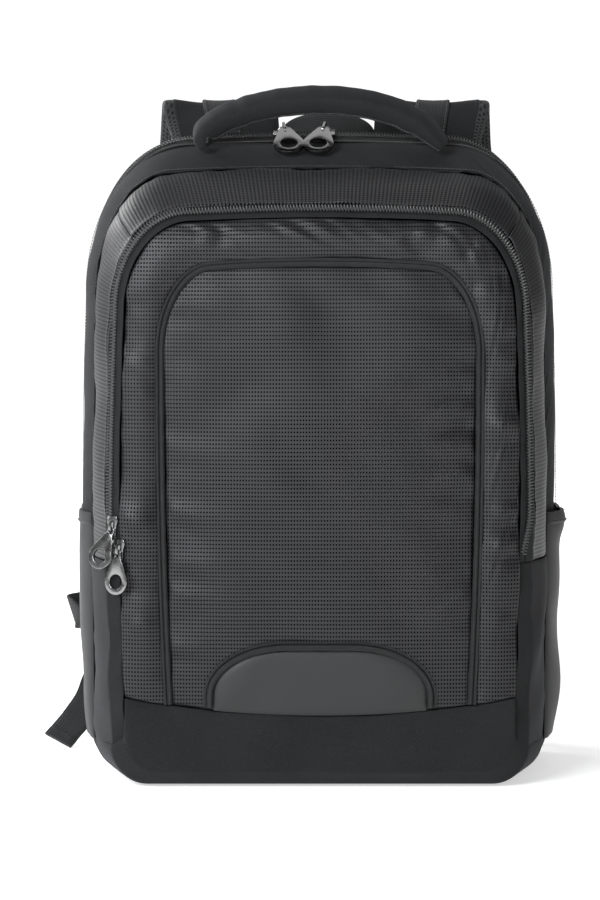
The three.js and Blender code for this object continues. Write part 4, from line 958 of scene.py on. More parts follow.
def frontGussets():
    rings = (seamLoop + gapAcross(seamLoop), frontZipLoop - gapAcross(seamLoop))
    parts = {
        "left": (frontLow, lambda ring: cornerSeam - gapAlong),
        "top": (lambda ring: cornerSeam + gapAlong, lambda ring: mirrorS(cornerSeam + gapAlong)),
        "right": (lambda ring: mirrorS(cornerSeam - gapAlong), lambda ring: mirrorS(frontLow(ring))),
    }
    for seed, (name, (low, high)) in enumerate(parts.items()):
        grid = bodyGrid(low, high, *rings, front["step"])
        dress(closedSheet("front_gusset_cloth_" + name, raised(grid, gussetRelief(grid, 20 + 5 * seed)),
                          cloth["nylon"], uvOf(grid)[..., ::-1]),
              "patterned_nylon", "patterned_nylon", "front_gusset_" + name)


def frontTape():
    low, high = frontLow, lambda ring: mirrorS(frontLow(ring))
    fold = frontZipLoop + front["foldAt"]
    gap = gapAcross(frontZipLoop)
    grid = bodyGrid(low, high, frontZipLoop + gap, fold, front["step"], 0.8)
    sunk = raised(grid, -front["tapeSink"] + 0 * grid["ring"])
    dress(closedSheet("front_zip_tape_cloth", sunk, front["tapeWall"], uvOf(grid)),
          "zip_tape", "webbing", "front_zip_tape")
    grid = bodyGrid(low, high, fold + gap, faceLoop - gap, front["step"], 0.7)
    fromFold = grid["across"]
    share = grid["ring"] - frontZipLoop
    binding = 1 - 0.4 * smoothStep(share, 0.96, 1.0)
    fromFoot = np.minimum(grid["s"], mirrorS(grid["s"])) - sideAt(front["cornerPanelTop"], frontZipLoop)
    binding = binding * smoothStep(fromFoot, 0.02, 0.16)
    relief = 1.1 * binding + 0.3 * binding * waves(31, 25, 90)(grid["along"]) + seamRoll(fromFold, 1.5, 0.6)
    relief = relief - 0.35 * bump(fromFold - 2.2, 0.6)
    dress(closedSheet("front_zip_binding", raised(grid, relief), front["bindingWall"], uvOf(grid)),
          "plain_cloth", "webbing", "front_zip_tape")


def cornerPanels():
    rings = (seamLoop + gapAcross(seamLoop), faceLoop - gapAcross(frontZipLoop))
    for name, mirrored in (("left", False), ("right", True)):
        low = lambda ring: 2 + gapAlong
        high = lambda ring: sideAt(front["cornerPanelTop"], ring) - gapAlong
        if mirrored:
            low, high = (lambda ring: mirrorS(sideAt(front["cornerPanelTop"], ring) - gapAlong),
                         lambda ring: mirrorS(2 + gapAlong))
        grid = bodyGrid(low, high, *rings, front["step"])
        fromRear, fromFront, ends = edgeDistances(grid)
        seed = 41 if mirrored else 45
        relief = seamRoll(fromRear, 1.1) + seamRoll(fromFront, 0.7) + seamRoll(ends, 0.9)
        relief = relief + puckers(grid["along"], fromFront, seed, 0.7, 10, 14, 40)
        relief = relief + puckers(grid["along"], fromRear, seed + 1, 0.6, 10, 14, 40)
        relief = relief + 1.2 * cloud(seed + 2, 50)(grid["points"])
        dress(closedSheet("corner_cloth_" + name, raised(grid, relief), cloth["nylon"], uvOf(grid)),
              "plain_cloth", "plain_cloth", "corner_panel_" + name)


def bandSeam(x):
    edge = sideHalfWidth(faceLoop, 0.0)
    return lerp(front["bandMiddle"], front["bandEdge"], (x / edge) ** 2)


# folds on the front, measured on the object: x, z, angle, length, reach, height
surroundFolds = [
    (62, 388, -62, 30, 6, -2.2), (84, 392, -118, 34, 7, -1.8), (72, 392, -90, 16, 9, 1.2),
    (108, 384, -128, 24, 4, -1.7), (128, 362, -160, 36, 4, -1.2), (131, 348, -168, 32, 4, 0.9),
    (137, 316, -160, 22, 4, -1.2), (138, 300, 195, 20, 5, 1.0), (136, 258, 205, 26, 6, 1.9),
    (136, 246, 208, 24, 4, -1.5), (137, 198, 208, 24, 5, 1.8), (137, 188, 208, 22, 4, -1.4),
    (137, 176, 210, 28, 5, 1.7), (136, 165, 205, 24, 4, -1.2), (134, 120, 200, 26, 5, 0.9),
    (-136, 340, -8, 26, 5, -1.2), (-137, 318, 8, 24, 5, -1.0), (-137, 190, -15, 24, 5, 1.3),
    (-137, 181, -20, 24, 4, -1.3), (-136, 152, -25, 24, 5, 1.2), (-136, 144, -30, 22, 4, -1.2),
    (-135, 112, 12, 22, 5, 0.9), (-70, 392, -80, 16, 4, -1.2), (-82, 391, -70, 18, 4, 0.8),
]
pocketFolds = [
    (105, 292, 200, 44, 5, 1.5), (105, 282, 204, 38, 4, -1.3), (105, 268, 202, 42, 5, 1.5),
    (105, 258, 206, 34, 4, -1.2), (106, 222, 200, 36, 5, 1.2), (106, 213, 202, 32, 4, -1.0),
    (106, 200, 204, 28, 4, 1.0), (106, 152, 210, 40, 5, -1.0), (106, 136, 214, 48, 5, 1.1),
    (105, 118, 210, 40, 4, -0.9), (-104, 196, -14, 42, 6, 1.4), (-104, 186, -20, 38, 5, -1.2),
    (-104, 160, -8, 52, 5, 1.3), (-104, 150, -14, 42, 5, -1.2), (-104, 140, -30, 30, 5, 1.0),
    (-104, 100, -4, 44, 5, 1.2), (-104, 92, -10, 40, 4, -1.0), (-104, 118, 10, 36, 6, -0.8),
]
patchFolds = [(-72, 58, 48, 66, 9, 1.0), (-50, 56, 55, 50, 9, -0.8), (40, 56, 60, 44, 12, 0.5)]


def surroundPanel():
    channel = shareOfSpan(0.9, faceLoop)

    def low(ring):
        x = lerp(sideHalfWidth(faceLoop, 0.0), sideHalfWidth(pipingLoop, 0.0), ring - faceLoop)
        return sideAt(bandSeam(x) + 2 * cloth["gap"], ring)

    grid = bodyGrid(low, lambda ring: mirrorS(low(ring)), faceLoop, pipingLoop - channel, 1.9)
    fromRear, fromFront, ends = edgeDistances(grid)
    x, z = grid["points"][..., 0], grid["points"][..., 2]
    relief = seamRoll(fromRear, 1.0, 0.7) + seamRoll(fromFront, 1.6, 1.2) + seamRoll(ends, 0.8)
    relief = relief + puckers(grid["along"], fromRear, 51, 0.3, 8, 12, 40)
    relief = relief + puckers(grid["along"], fromFront, 52, 0.3, 7, 12, 40)
    relief = relief + foldsAt(x, z, surroundFolds) * 1.15 + 0.8 * cloud(53, 48)(grid["points"])
    relief = relief + drags(grid["along"], fromRear, 54, 0.7, 20, -0.5)
    relief = relief + drags(grid["along"], fromFront, 55, 0.4, 14, 0.5)
    uv = np.stack([x, z], axis=-1)
    dress(closedSheet("front_surround_cloth", raised(grid, relief), cloth["nylon"], uv),
          "patterned_nylon", "patterned_nylon", "front_surround")


def pocketArch(margin):
    k = pipingLoop
    return {"foot": front["bandMiddle"], "footHalf": sideHalfWidth(k, 0.12) - margin,
            "half": sideHalfWidth(k, 1.0) - margin, "shoulder": loopShoulder(k),
            "cornerX": at("cornerX", k) * halfWidth - margin,
            "cornerZ": at("cornerZ", k) * bag["height"] - margin}


def archHalfWidth(arch, z):
    straight = lerp(arch["footHalf"], arch["half"], (z - arch["foot"]) / (arch["shoulder"] - arch["foot"]))
    up = np.clip((z - arch["shoulder"]) / arch["cornerZ"], 0, 1)
    curved = arch["half"] - arch["cornerX"] + arch["cornerX"] * np.sqrt(1 - up * up)
    return np.where(z <= arch["shoulder"], straight, curved)


def faceY(x, z):
    arch = pocketArch(0)
    top = arch["shoulder"] + arch["cornerZ"]
    across = np.clip(np.abs(x) / archHalfWidth(arch, z), 0, 1)
    up = np.clip((z - arch["foot"]) / (top - arch["foot"]), 0, 1)
    dome = (1 - across ** 3) * np.sin(np.pi * up) ** 0.6
    depth = lerp(at("footDepth", pipingLoop), at("topDepth", pipingLoop), z / bag["height"])
    return bag["backSeam"] - bag["depth"] * depth - front["dome"] * dome


def faceNormal(x, z, d=1.5):
    slopeX = (faceY(x + d, z) - faceY(x - d, z)) / (2 * d)
    slopeZ = (faceY(x, z + d) - faceY(x, z - d)) / (2 * d)
    return unit(np.stack([slopeX, -1 + 0 * slopeX, slopeZ], axis=-1))


def archGrid(arch, step, crown):
    # points of a panel inside an arch, with the distance of each from the arch's edge
    edgeV = np.linspace(0, 1, 400)
    half = np.pi / 2
    upEdge = np.where(edgeV <= 0.7, lerp(arch["foot"], arch["shoulder"], edgeV / 0.7),
                      arch["shoulder"] + arch["cornerZ"] * np.sin((edgeV - 0.7) / 0.3 * half))
    outline = np.stack([archHalfWidth(arch, upEdge), upEdge], axis=-1)
    lengths = lengthsOf(outline)
    rows = np.interp(edgeSpaced(lengths[-1], step) * lengths[-1], lengths, upEdge)
    u = 2 * edgeSpaced(2 * arch["half"], step) - 1
    z = rows[:, None] + 0 * u[None, :]
    x = u[None, :] * archHalfWidth(arch, z)
    rising = 1 - smoothStep(z, arch["foot"], arch["foot"] + 60)
    z = z + (bandSeam(x) + cloth["gap"] - arch["foot"]) * rising
    v = (rows - rows[0]) / (rows[-1] - rows[0])
    z = z + crown * (1 - u[None, :] ** 2) * v[:, None] ** 2
    return x, z, distanceToRim(x, z)


def pocketPanel():
    x, z, edge = archGrid(pocketArch(0.9), 2.2, bag["crown"])
    points = np.stack([x, faceY(x, z), z], axis=-1)
    relief = seamRoll(edge, 1.5, 1.3) + foldsAt(x, z, pocketFolds) * 1.15 + 0.7 * cloud(61, 75)(points)
    relief = relief + puckers(z, 105 - np.abs(x), 62, 0.3, 10, 12, 40)
    relief = relief + drags(z + 700 * (x > 0), edge, 63, 0.75, 34, 0.5) * smoothStep(np.abs(x), 20, 80)
    relief = relief + 0.35 * cloud(64, 30)(points)
    grid = {"points": points, "normals": faceNormal(x, z)}
    dress(closedSheet("pocket_cloth", raised(grid, relief), cloth["nylon"], np.stack([x, z], axis=-1)),
          "patterned_nylon", "patterned_nylon", "pocket_panel")


patch = {"half": 74.5, "top": 97.5, "cornerX": 52, "cornerZ": 32, "wall": 1.4, "piping": 2.1}


def patchArch(margin):
    return {"foot": front["bandMiddle"], "footHalf": patch["half"] - margin, "half": patch["half"] - margin,
            "shoulder": patch["top"] - patch["cornerZ"], "cornerX": patch["cornerX"] - margin,
            "cornerZ": patch["cornerZ"] - margin}


def patchPanel():
    x, z, edge = archGrid(patchArch(0), 2.0, 0)
    stand = patch["wall"] + cloth["gap"]
    points = np.stack([x, faceY(x, z), z], axis=-1) + faceNormal(x, z) * stand
    relief = seamRoll(edge, 1.0, 2.0) + 1.4 * (1 - np.exp(-edge / 14)) + foldsAt(x, z, patchFolds)
    grid = {"points": points, "normals": faceNormal(x, z)}
    dress(closedSheet("smooth_patch", raised(grid, relief), patch["wall"], np.stack([x, z], axis=-1)),
          "smooth_cloth", "smooth_cloth", "badge_patch")


def patchEdge(v):
    arch = patchArch(-patch["piping"] - 2 * cloth["gap"])
    foot = bandSeam(arch["half"]) + patch["piping"] + cloth["gap"]
    side, corner = 0.12, 0.62
    t = np.minimum(v, 1 - v) * 2
    a = np.clip((t - side) / (corner - side), 0, 1) * np.pi / 2
    x = np.where(t > side, arch["half"] - arch["cornerX"] * (1 - np.cos(a)), arch["half"])
    z = np.where(t > side, arch["shoulder"] + arch["cornerZ"] * np.sin(a),
                 lerp(foot, arch["shoulder"], np.clip(t / side, 0, 1)))
    x = np.where(t > corner, (arch["half"] - arch["cornerX"]) * (1 - (t - corner) / (1 - corner)), x)
    x = np.where(v < 0.5, -x, x)
    return x, z


piping = {"flangeOut": 3.3, "flangeHigh": 0.8, "flangeWide": 1.05, "pocketLift": 0.75, "patchLift": -0.9}


def flangedRoll(name, frames, sections, lift):
    # the roll of a piping and, outside it, the low edge of its sewn-down flange
    points, normals, outward = frames
    flange = (points + outward * piping["flangeOut"] + normals * lift, normals, outward)
    low = roundSection(piping["flangeHigh"], piping["flangeWide"], 8)
    return joined(name, [sweep("roll", frames, sections), sweep("flange", flange, low)])


def pipings():
    k = pipingLoop
    foot = bandSeam(sideHalfWidth(k, 0.0)) + 3 * cloth["gap"]
    low = sideAt(foot, k)
    trial = np.linspace(low, mirrorS(low), 2000)
    lengths = lengthsOf(bodyPoint(trial, k))
    s = np.interp(np.linspace(0, lengths[-1], 460), lengths, trial)
    points, normals = bodyPath(s, k, 0)
    plump = 1 + 0.05 * waves(71, 8, 30)(lengthsOf(points))
    sections = roundSection(2.2, 2.1, 12)[None] * plump[:, None, None]
    dress(flangedRoll("pocket_piping_roll", framesAlong(points, normals), sections, piping["pocketLift"]),
          "piping", "piping_and_coil", "pocket_piping")
    x, z = patchEdge(np.linspace(0, 1, 160))
    normals = faceNormal(x, z)
    points = np.stack([x, faceY(x, z), z], axis=-1) + normals * (patch["piping"] + cloth["gap"])
    sections = roundSection(patch["piping"], patch["piping"], 12)
    dress(flangedRoll("patch_piping_roll", framesAlong(points, normals), sections, piping["patchLift"]),
          "piping", "piping_and_coil", "patch_piping")


def bottomBand():
    width = sideHalfWidth(faceLoop, 0.0) - cloth["gap"]
    sigma = np.linspace(-2, 2, 260) * 1.003
    x = -sigma / 2 * width
    shares = np.concatenate([[0, 0.02, 0.05, 0.09], np.linspace(0.13, 1, 22)])
    rows = []
    for share in shares:
        top = np.stack([x, faceY(x, bandSeam(x)), bandSeam(x)], axis=-1)
        point = lerp(top, loopPoint(faceLoop, sigma), share)
        point[:, 1] -= front["bandBulge"] * math.sin(math.pi * share)
        rows.append(point)
    under = np.linspace(faceLoop, seamLoop + gapAcross(seamLoop), 26)[1:]
    rows += [bodyPoint(sigma, ring) for ring in under]
    points = np.stack(rows)
    normals = outwardNormals(points)
    across = np.cumsum(np.linalg.norm(np.diff(points, axis=0, prepend=points[:1]), axis=-1), axis=0)
    along = np.cumsum(np.linalg.norm(np.diff(points, axis=1, prepend=points[:, :1]), axis=-1), axis=1)
    ends = np.minimum(along, along[:, -1:] - along)
    standing = smoothStep(points[..., 2], 3, 14)
    relief = seamRoll(across, 1.0, 1.0) - 0.35 * bump(across - 3.2, 0.8) + standing * seamRoll(ends, 0.6)
    relief = relief + standing * (puckers(along, across, 81, 0.4, 8, 20, 60) + 0.8 * cloud(82, 70)(points))
    grid = {"points": points, "normals": normals}
    uv = np.stack([along, across], axis=-1)
    dress(closedSheet("bottom_band_cloth", raised(grid, relief), cloth["nylon"], uv),
          "plain_cloth", "plain_cloth", "bottom_band")


frontGussets()
frontTape()
cornerPanels()
surroundPanel()
pocketPanel()
patchPanel()
pipings()
bottomBand()
print("front compartment made")


# side pockets
pocket = {"top": 188, "foot": 8, "width": 95, "mouth": 3, "leftMouth": 1.5, "belly": 6.5, "wall": 1.4,
          "hem": 9, "hemWall": 0.6, "step": 2.4}


pocketRings = (backLoop + gapAcross(backLoop), seamLoop - gapAcross(topZipLoop))


def pocketStand(up, across, mouth):
    belly = np.sin(np.pi * np.clip(up * 1.7, 0, 1)) * np.maximum(0, 1 - up * 1.2)
    swell = pocket["belly"] * belly + mouth * smoothStep(up, 0, 0.55)
    return pocket["wall"] + cloth["gap"] + swell * np.sin(np.pi * across) ** 0.7


def pocketGrid(mirrored, lowZ, highZ, step):
    rear, ahead = pocketRings
    z = lerp(lowZ, highZ, edgeSpaced(highZ - lowZ, step))
    across = edgeSpaced(pocket["width"], step)
    ring = lerp(rear, ahead, across)[None, :] + 0 * z[:, None]
    s = np.array([[sideAt(h, r) for r in ring[0]] for h in z])
    if mirrored:
        s = mirrorS(s)
    return z[:, None] + 0 * s, across[None, :] + 0 * s, s, ring


def pocketFace(mirrored, z, across, s, ring, extra):
    # the outer face of a side pocket: its swell, a soft sag, and the mouth that gapes on the right
    up = (z - pocket["foot"]) / (pocket["top"] - pocket["foot"])
    points = bodyPoint(s, ring)
    edge = np.minimum(across, 1 - across) * pocket["width"]
    mouth = pocket["mouth"] if mirrored else pocket["leftMouth"]
    stand = pocketStand(up, across, mouth) + seamRoll(edge, 1.2, 1.8)
    stand = stand + 1.3 * cloud(91 if mirrored else 94, 55)(points) * np.sin(np.pi * across)
    if mirrored:
        stand = stand + 3.2 * bump(z - 178, 9) * bump(across - 0.72, 0.2)
    normals = bodyNormal(s, ring)
    return points + normals * (stand + extra)[..., None], normals


def sidePockets():
    for name, mirrored in (("left", False), ("right", True)):
        z, across, s, ring = pocketGrid(mirrored, pocket["foot"], pocket["top"], pocket["step"])
        foot = z - pocket["foot"]
        gather = puckers(across * pocket["width"], foot, 95, 0.8, 16, 10, 30) * np.sin(np.pi * across)
        outer = pocketFace(mirrored, z, across, s, ring, gather + seamRoll(foot, 0.8, 2.0))[0]
        uv = np.stack([z, across * pocket["width"]], axis=-1)
        dress(closedSheet("side_pocket_cloth_" + name, outer, pocket["wall"], uv),
              "smooth_cloth", "smooth_cloth", "side_pocket_" + name)
        hemLow = pocket["top"] - pocket["hem"]
        z, across, s, ring = pocketGrid(mirrored, hemLow, pocket["top"], 1.6)
        rise = z - hemLow
        roll = 0.9 + 0.25 * np.sin(np.pi * rise / pocket["hem"]) - 0.5 * np.exp(-rise / 0.6)
        outer = pocketFace(mirrored, z, across, s, ring, roll)[0]
        uv = np.stack([z, across * pocket["width"]], axis=-1)
        dress(closedSheet("side_pocket_hem_" + name, outer, pocket["hemWall"], uv),
              "smooth_cloth", "smooth_cloth", "pocket_hem_" + name)


def hemPath(mirrored):
    across = np.linspace(0.03, 0.97, 90)
    ring = lerp(*pocketRings, across)
    z = pocket["top"] - pocket["hem"] + 1.8 + 0 * across
    s = np.array([sideAt(h, r) for h, r in zip(z, ring)])
    return pocketFace(mirrored, z, across, mirrorS(s) if mirrored else s, ring, 1.4)


sidePockets()
print("side pockets made")


# the padded back
backPad = {"foam": 8, "channel": 6.4, "channelHalf": 13, "quilts": (110, 205, 300), "quiltDepth": 4.6,
           "quiltHalf": 4.2, "quiltBow": 10, "bowLength": 60, "step": 2.6, "edge": 9}


def quiltLine(quilt, x):
    return quilt + backPad["quiltBow"] * np.cos(x / backPad["bowLength"])


def backPanel():
    k = backLoop
    trial = np.linspace(1.0, 4.0, 1200)
    outline = loopPoint(k, trial)
    lengths = lengthsOf(outline)
    marks = edgeSpaced(lengths[-1], backPad["step"]) * lengths[-1]
    halfX = np.interp(marks, lengths, -outline[:, 0])
    rowZ = np.interp(marks, lengths, outline[:, 2])
    u = 2 * edgeSpaced(2 * halfWidth, backPad["step"]) - 1
    x = halfX[:, None] * u[None, :]
    v = np.linspace(0, 1, len(rowZ))[:, None]
    z = rowZ[:, None] + bag["crown"] * (1 - u[None, :] ** 2) * v ** 6
    edge = distanceToRim(x, z)
    height = backPad["foam"] * np.clip(edge / backPad["edge"], 0, 1) ** 0.45
    height = height - 2.2 * bump(edge - backPad["edge"] - 3, 2.2)
    deep = backPad["channel"] * bump(x, backPad["channelHalf"]) * (1 - smoothStep(z, 350, 385))
    deep = deep * smoothStep(z, 30, 60)
    for quilt in backPad["quilts"]:
        line = z - quiltLine(quilt, x)
        within = smoothStep(np.abs(x), 14, 24) * (1 - smoothStep(np.abs(x), 128, 138))
        deep = deep + backPad["quiltDepth"] * bump(line, backPad["quiltHalf"]) * within
    uneven = 0.5 * cloud(121, 60)(np.stack([x, 0 * x, z], axis=-1)) * (edge > 6)
    height = np.maximum(height - deep, 0.6) + uneven
    height = np.minimum(height, backPad["foam"] + 0.3)
    y = bag["backSeam"] + cloth["gap"] + height
    points = np.stack([x, y, z], axis=-1)
    base = np.stack([x, bag["backSeam"] + cloth["gap"] + 0 * x, z], axis=-1)
    return padFrom("back_pad", points, base, np.stack([x, z], axis=-1))


pad = dress(backPanel(), "back_mesh", "back_mesh", "back_panel")
print("back made")


# handle
handle = {"span": 176, "rise": 32, "height": 16.5, "depth": 23, "tabWall": 4.5, "ring": topZipLoop + 0.52,
          "seams": (122, 234), "stitches": (138, 216)}
handleRows = [
    # across   up    height depth, with the left end folded down and the right end drawn out
    (-0.915, -0.05, 0.5, 0.8), (-0.94, 0.05, 0.72, 0.9), (-0.95, 0.19, 0.88, 0.97), (-0.9, 0.37, 0.97, 1.0),
    (-0.78, 0.57, 0.98, 1.0), (-0.55, 0.8, 1.0, 1.0), (-0.28, 0.95, 1.0, 1.0), (0.0, 1.0, 1.0, 1.0),
    (0.28, 0.95, 1.0, 1.0), (0.55, 0.79, 1.0, 1.0), (0.76, 0.55, 0.97, 1.0), (0.89, 0.31, 0.82, 0.96),
    (0.965, 0.1, 0.62, 0.88), (1.0, 0.0, 0.48, 0.8), (1.02, -0.05, 0.36, 0.7),
]


def padSection(width, wall, count=11, square=0.42):
    # a rolled pad: full in the middle, turned in at both edges
    a = np.linspace(0, np.pi, count)
    x = width / 2 * np.sign(np.cos(a)) * np.abs(np.cos(a)) ** square
    y = wall / 2 * np.abs(np.sin(a)) ** 0.6
    x[0], x[-1], y[0], y[-1] = width / 2, -width / 2, wall * 0.06, wall * 0.06
    top = np.stack([x, y], axis=-1)
    return np.concatenate([top, (top * [1, -1])[::-1]])


def carryHandle():
    rows = handleRows
    lean = bodyNormal(wholeLoop / 2, handle["ring"])
    foot = bodyPoint(4.05, handle["ring"])
    footZ = foot[2] + (6 * cloth["gap"] + handle["tabWall"] / 2) / lean[2]
    count = 150
    route = [(a * handle["span"] / 2, foot[1], footZ + u * handle["rise"]) for a, u, h, d in rows]
    points = smoothCurve(route, count)
    sizes = smoothCurve([(h * handle["height"], d * handle["depth"]) for a, u, h, d in rows], count)
    across = np.array([0, lean[2], -lean[1]]) + 0 * points
    frames = framesAlong(points, across)
    sections = np.stack([padSection(depth, height, 13, 0.78) for height, depth in sizes])
    ripple = 0.22 * waves(101, 7, 22)(lengthsOf(points))
    frames = (points + frames[2] * ripple[:, None], frames[1], frames[2])
    seams = []
    for turn in handle["seams"]:
        line = handleLine(frames, sizes, turn, 0.1)[0][4:-4]
        seams.append(sweep("seam", framesAlong(line, frames[1][4:-4]), roundSection(0.9, 0.9, 6)))
    grip = joined("handle_grip", [sweep("grip", frames, sections), *seams])
    piece = dress(grip, "plain_cloth", "plain_cloth", "carry_handle")
    return frames, sizes


def handleLine(frames, sizes, turn, proud):
    # a line along the grip at an angle round its section, and the direction that faces out there
    points, across, up = frames
    c, s = math.cos(math.radians(turn)), math.sin(math.radians(turn))
    x = sizes[:, 1:] / 2 * math.copysign(abs(c) ** 0.78, c)
    y = sizes[:, :1] / 2 * abs(s) ** 0.6
    out = unit(across * c + up * s)
    return points + across * x + up * y + out * proud, out


handleFrames, handleSizes = carryHandle()


# webbing loop behind the top edge
webbing = {"width": 25, "wall": 1.8}
loopSizes = {"span": 62, "rise": 15.5, "shift": 6.5, "lean": (0, 0.66, 0.75)}


def hangLoop():
    t = np.linspace(-1, 1, 60)
    a = t * np.pi / 2
    footY = bag["backSeam"] + backPad["foam"] + cloth["gap"] + webbing["width"] * 0.2
    foot = np.array([loopSizes["shift"], footY, at("height", backLoop) * bag["height"] + cloth["gap"]])
    points = np.stack([foot[0] + np.sin(a) * loopSizes["span"] / 2, foot[1] + 0 * a,
                       foot[2] + loopSizes["rise"] * np.maximum(np.cos(a), 0) ** 0.8], axis=-1)
    lean = unit(np.array(loopSizes["lean"])) + 0 * points
    section = flatSection(webbing["width"], webbing["wall"])
    dress(sweep("hang_loop_webbing", framesAlong(points, lean), section), "webbing", "webbing", "hang_loop")


hangLoop()

# shoulder straps
strap = {"width": 82, "foam": 11, "arch": 50, "steps": 200,
         "cover": 0.88, "coverShift": 0.09, "coverWall": 0.7}
strapRows = [
    # across  back    up    turn  width
    (0.425, 0.112, 0.9035, 0.0, 0.84), (0.425, 0.118, 0.945, 0.0, 0.88), (0.43, 0.16, 0.99, 0.02, 0.96),
    (0.445, 0.3, 1.03, 0.06, 1.0), (0.465, 0.55, 1.046, 0.1, 1.02), (0.48, 0.83, 1.024, 0.12, 1.02),
    (0.5, 0.98, 0.965, 0.12, 1.0), (0.545, 1.0, 0.88, 0.1, 0.97), (0.62, 0.98, 0.72, 0.08, 0.88),
    (0.7, 0.92, 0.56, 0.06, 0.78), (0.77, 0.78, 0.42, 0.03, 0.72), (0.81, 0.66, 0.345, 0.02, 0.7),
]


def strapFrames(side):
    base = bag["backSeam"] + cloth["gap"] + backPad["foam"]
    route = [(side * a * halfWidth + loopSizes["shift"] * (1.5 - a * 1.4), base + b * strap["arch"],
              u * bag["height"]) for a, b, u, t, w in strapRows]
    points = smoothCurve(route, strap["steps"])
    data = smoothCurve([(t, w) for a, b, u, t, w in strapRows], strap["steps"])
    across = np.stack([1 + 0 * data[:, 0], side * data[:, 0] * 2, 0 * data[:, 0]], axis=-1)
    return framesAlong(points, across), data[:, 1] * strap["width"]


def strapEnd(side):
    points, up = strapFrames(side)[0][::2]
    along = unit(points[-1] - points[-11])
    return points[-1], along, up[-1], np.cross(along, up[-1])


buckle = {"length": 30, "wall": 4.2, "bar": 3.4, "reach": 3}


def bucklePlace(side):
    end, along, up, across = strapEnd(side)
    centre = end + along * (buckle["length"] / 2 + buckle["reach"])
    centre = centre + up * (strap["foam"] / 2 - buckle["wall"] / 2)
    return centre, across, along, up


topWebbing = {}


def strapPads():
    for name, side in (("left", -1), ("right", 1)):
        frames, widths = strapFrames(side)
        sections = np.stack([padSection(w, strap["foam"] * 0.94, 17, 0.28) for w in widths])
        piece = dress(sweep("strap_pad_" + name, frames, sections),
                      "back_mesh", "back_mesh", "shoulder_strap_" + name)
        strapCover(name, side, frames, widths)
        strapWebbing(name, side, frames)


def strapCover(name, side, frames, widths):
    # the cloth on the outer face, turned over the pad's edges
    points, across, up = frames
    share = np.sin(np.linspace(-1, 1, 35) * np.pi / 2) * strap["cover"] - side * strap["coverShift"]
    lift = strap["foam"] / 2 * 0.94 * np.abs(1 - np.abs(share) ** (2 / 0.28)) ** 0.3 + 0.45
    grid = points[:, None] + across[:, None] * (share[None, :, None] * widths[:, None, None] * 0.497) \
        + up[:, None] * lift[None, :, None]
    along = lengthsOf(points)[:, None] + 0 * share[None, :]
    uv = np.stack([along, share[None, :] * widths[:, None] / 2], axis=-1)
    ripple = 0.25 * cloud(111, 26)(grid)
    grid = grid + up[:, None] * ripple[..., None]
    inner = grid - up[:, None] * strap["coverWall"]
    rolls = []
    for edge in (0, -1):
        line = grid[:, edge] - up * 0.7
        rolls.append(sweep("roll", framesAlong(line, across), roundSection(1.9, 0.8, 8)))
    piece = joined("strap_cover_" + name, [padFrom("cover", grid, inner, uv), *rolls])
    dress(piece, "plain_cloth", "plain_cloth", "shoulder_strap_" + name)


def strapWebbing(name, side, frames):
    points, across, up = (a[int(strap["steps"] * 0.175):] for a in frames)
    end, along, endUp, endAcross = strapEnd(side)
    reach = np.linspace(0, buckle["reach"] + 2 * buckle["bar"], 5)[1:, None]
    points = np.concatenate([points, end + along * reach])
    across = np.concatenate([across, endAcross + 0 * reach])
    up = np.concatenate([up, endUp + 0 * reach])
    lifted = points + up * (strap["foam"] / 2 + cloth["gap"] + webbing["wall"] / 2)
    section = flatSection(webbing["width"], webbing["wall"])
    dress(sweep("strap_top_webbing_" + name, (lifted, across, up), section),
          "webbing", "webbing", "strap_webbing_" + name)
    topWebbing[name] = (lifted, across, up)


strapPads()
print("straps made")


# webbing below the buckles
tab = {"width": 46, "height": 40, "wall": 2.4, "across": 0.82, "up": 0.085}
tailHem = {"length": 8, "wall": 4.5}
leftTailRows = [
    # across   back   up     direction across the webbing
    (-0.9, 0.98, 0.244, (0.6, 0.35, -0.6)), (-0.98, 1.0, 0.226, (0.25, 0.25, -0.95)),
    (-1.05, 0.86, 0.22, (0.2, 0.15, -1.0)), (-1.08, 0.66, 0.219, (0.3, 0.0, -1.0)),
    (-1.055, 0.48, 0.213, (0.4, 0.1, -1.0)), (-1.0, 0.44, 0.19, (0.5, 0.5, -0.7)),
    (-0.968, 0.52, 0.155, (0.5, 0.8, -0.1)), (-0.96, 0.58, 0.12, (0.7, 0.55, -0.1)),
    (-0.99, 0.46, 0.08, (0.84, -0.2, -0.3)), (-1.05, 0.28, 0.048, (0.88, -0.36, -0.26)),
    (-1.108, 0.1, 0.0235, (0.91, -0.36, -0.2)),
]
rightTailRows = [
    (0.84, 0.93, 0.25, (1, 0, 0)), (0.84, 0.96, 0.2, (1, 0, 0)),
    (0.835, 0.88, 0.13, (1, 0, 0)), (0.83, 0.84, 0.06, (1, 0, 0)),
]


def tabPlace(side):
    y = bag["backSeam"] + backPad["foam"] + 2 * cloth["gap"] + tab["wall"] / 2
    return np.array([side * halfWidth * tab["across"], y, bag["height"] * tab["up"]])


def lowerWebbing(name, side):
    centre, across, along, up = bucklePlace(side)
    start = tabPlace(side) + [0, tab["wall"] / 2 + cloth["gap"] + webbing["wall"] / 2, -tab["height"] * 0.3]
    end = centre + along * (buckle["length"] / 2 - buckle["bar"]) \
        - up * (buckle["wall"] / 2 + cloth["gap"] + webbing["wall"] / 2)
    away = end + along * buckle["length"] * 0.5
    points = smoothCurve([start, start + [0, 0.6, tab["height"] * 0.5], lerp(start, away, 0.75), away, end,
                          end - along * buckle["length"] * 0.45], 70)
    wide = lerp(np.array([1.0, 0, 0]), across, np.linspace(0, 1, 71)[:, None])
    section = flatSection(webbing["width"], webbing["wall"])
    dress(sweep("foot_webbing_" + name, framesAlong(points, wide), section),
          "webbing", "webbing", "lower_webbing_" + name)


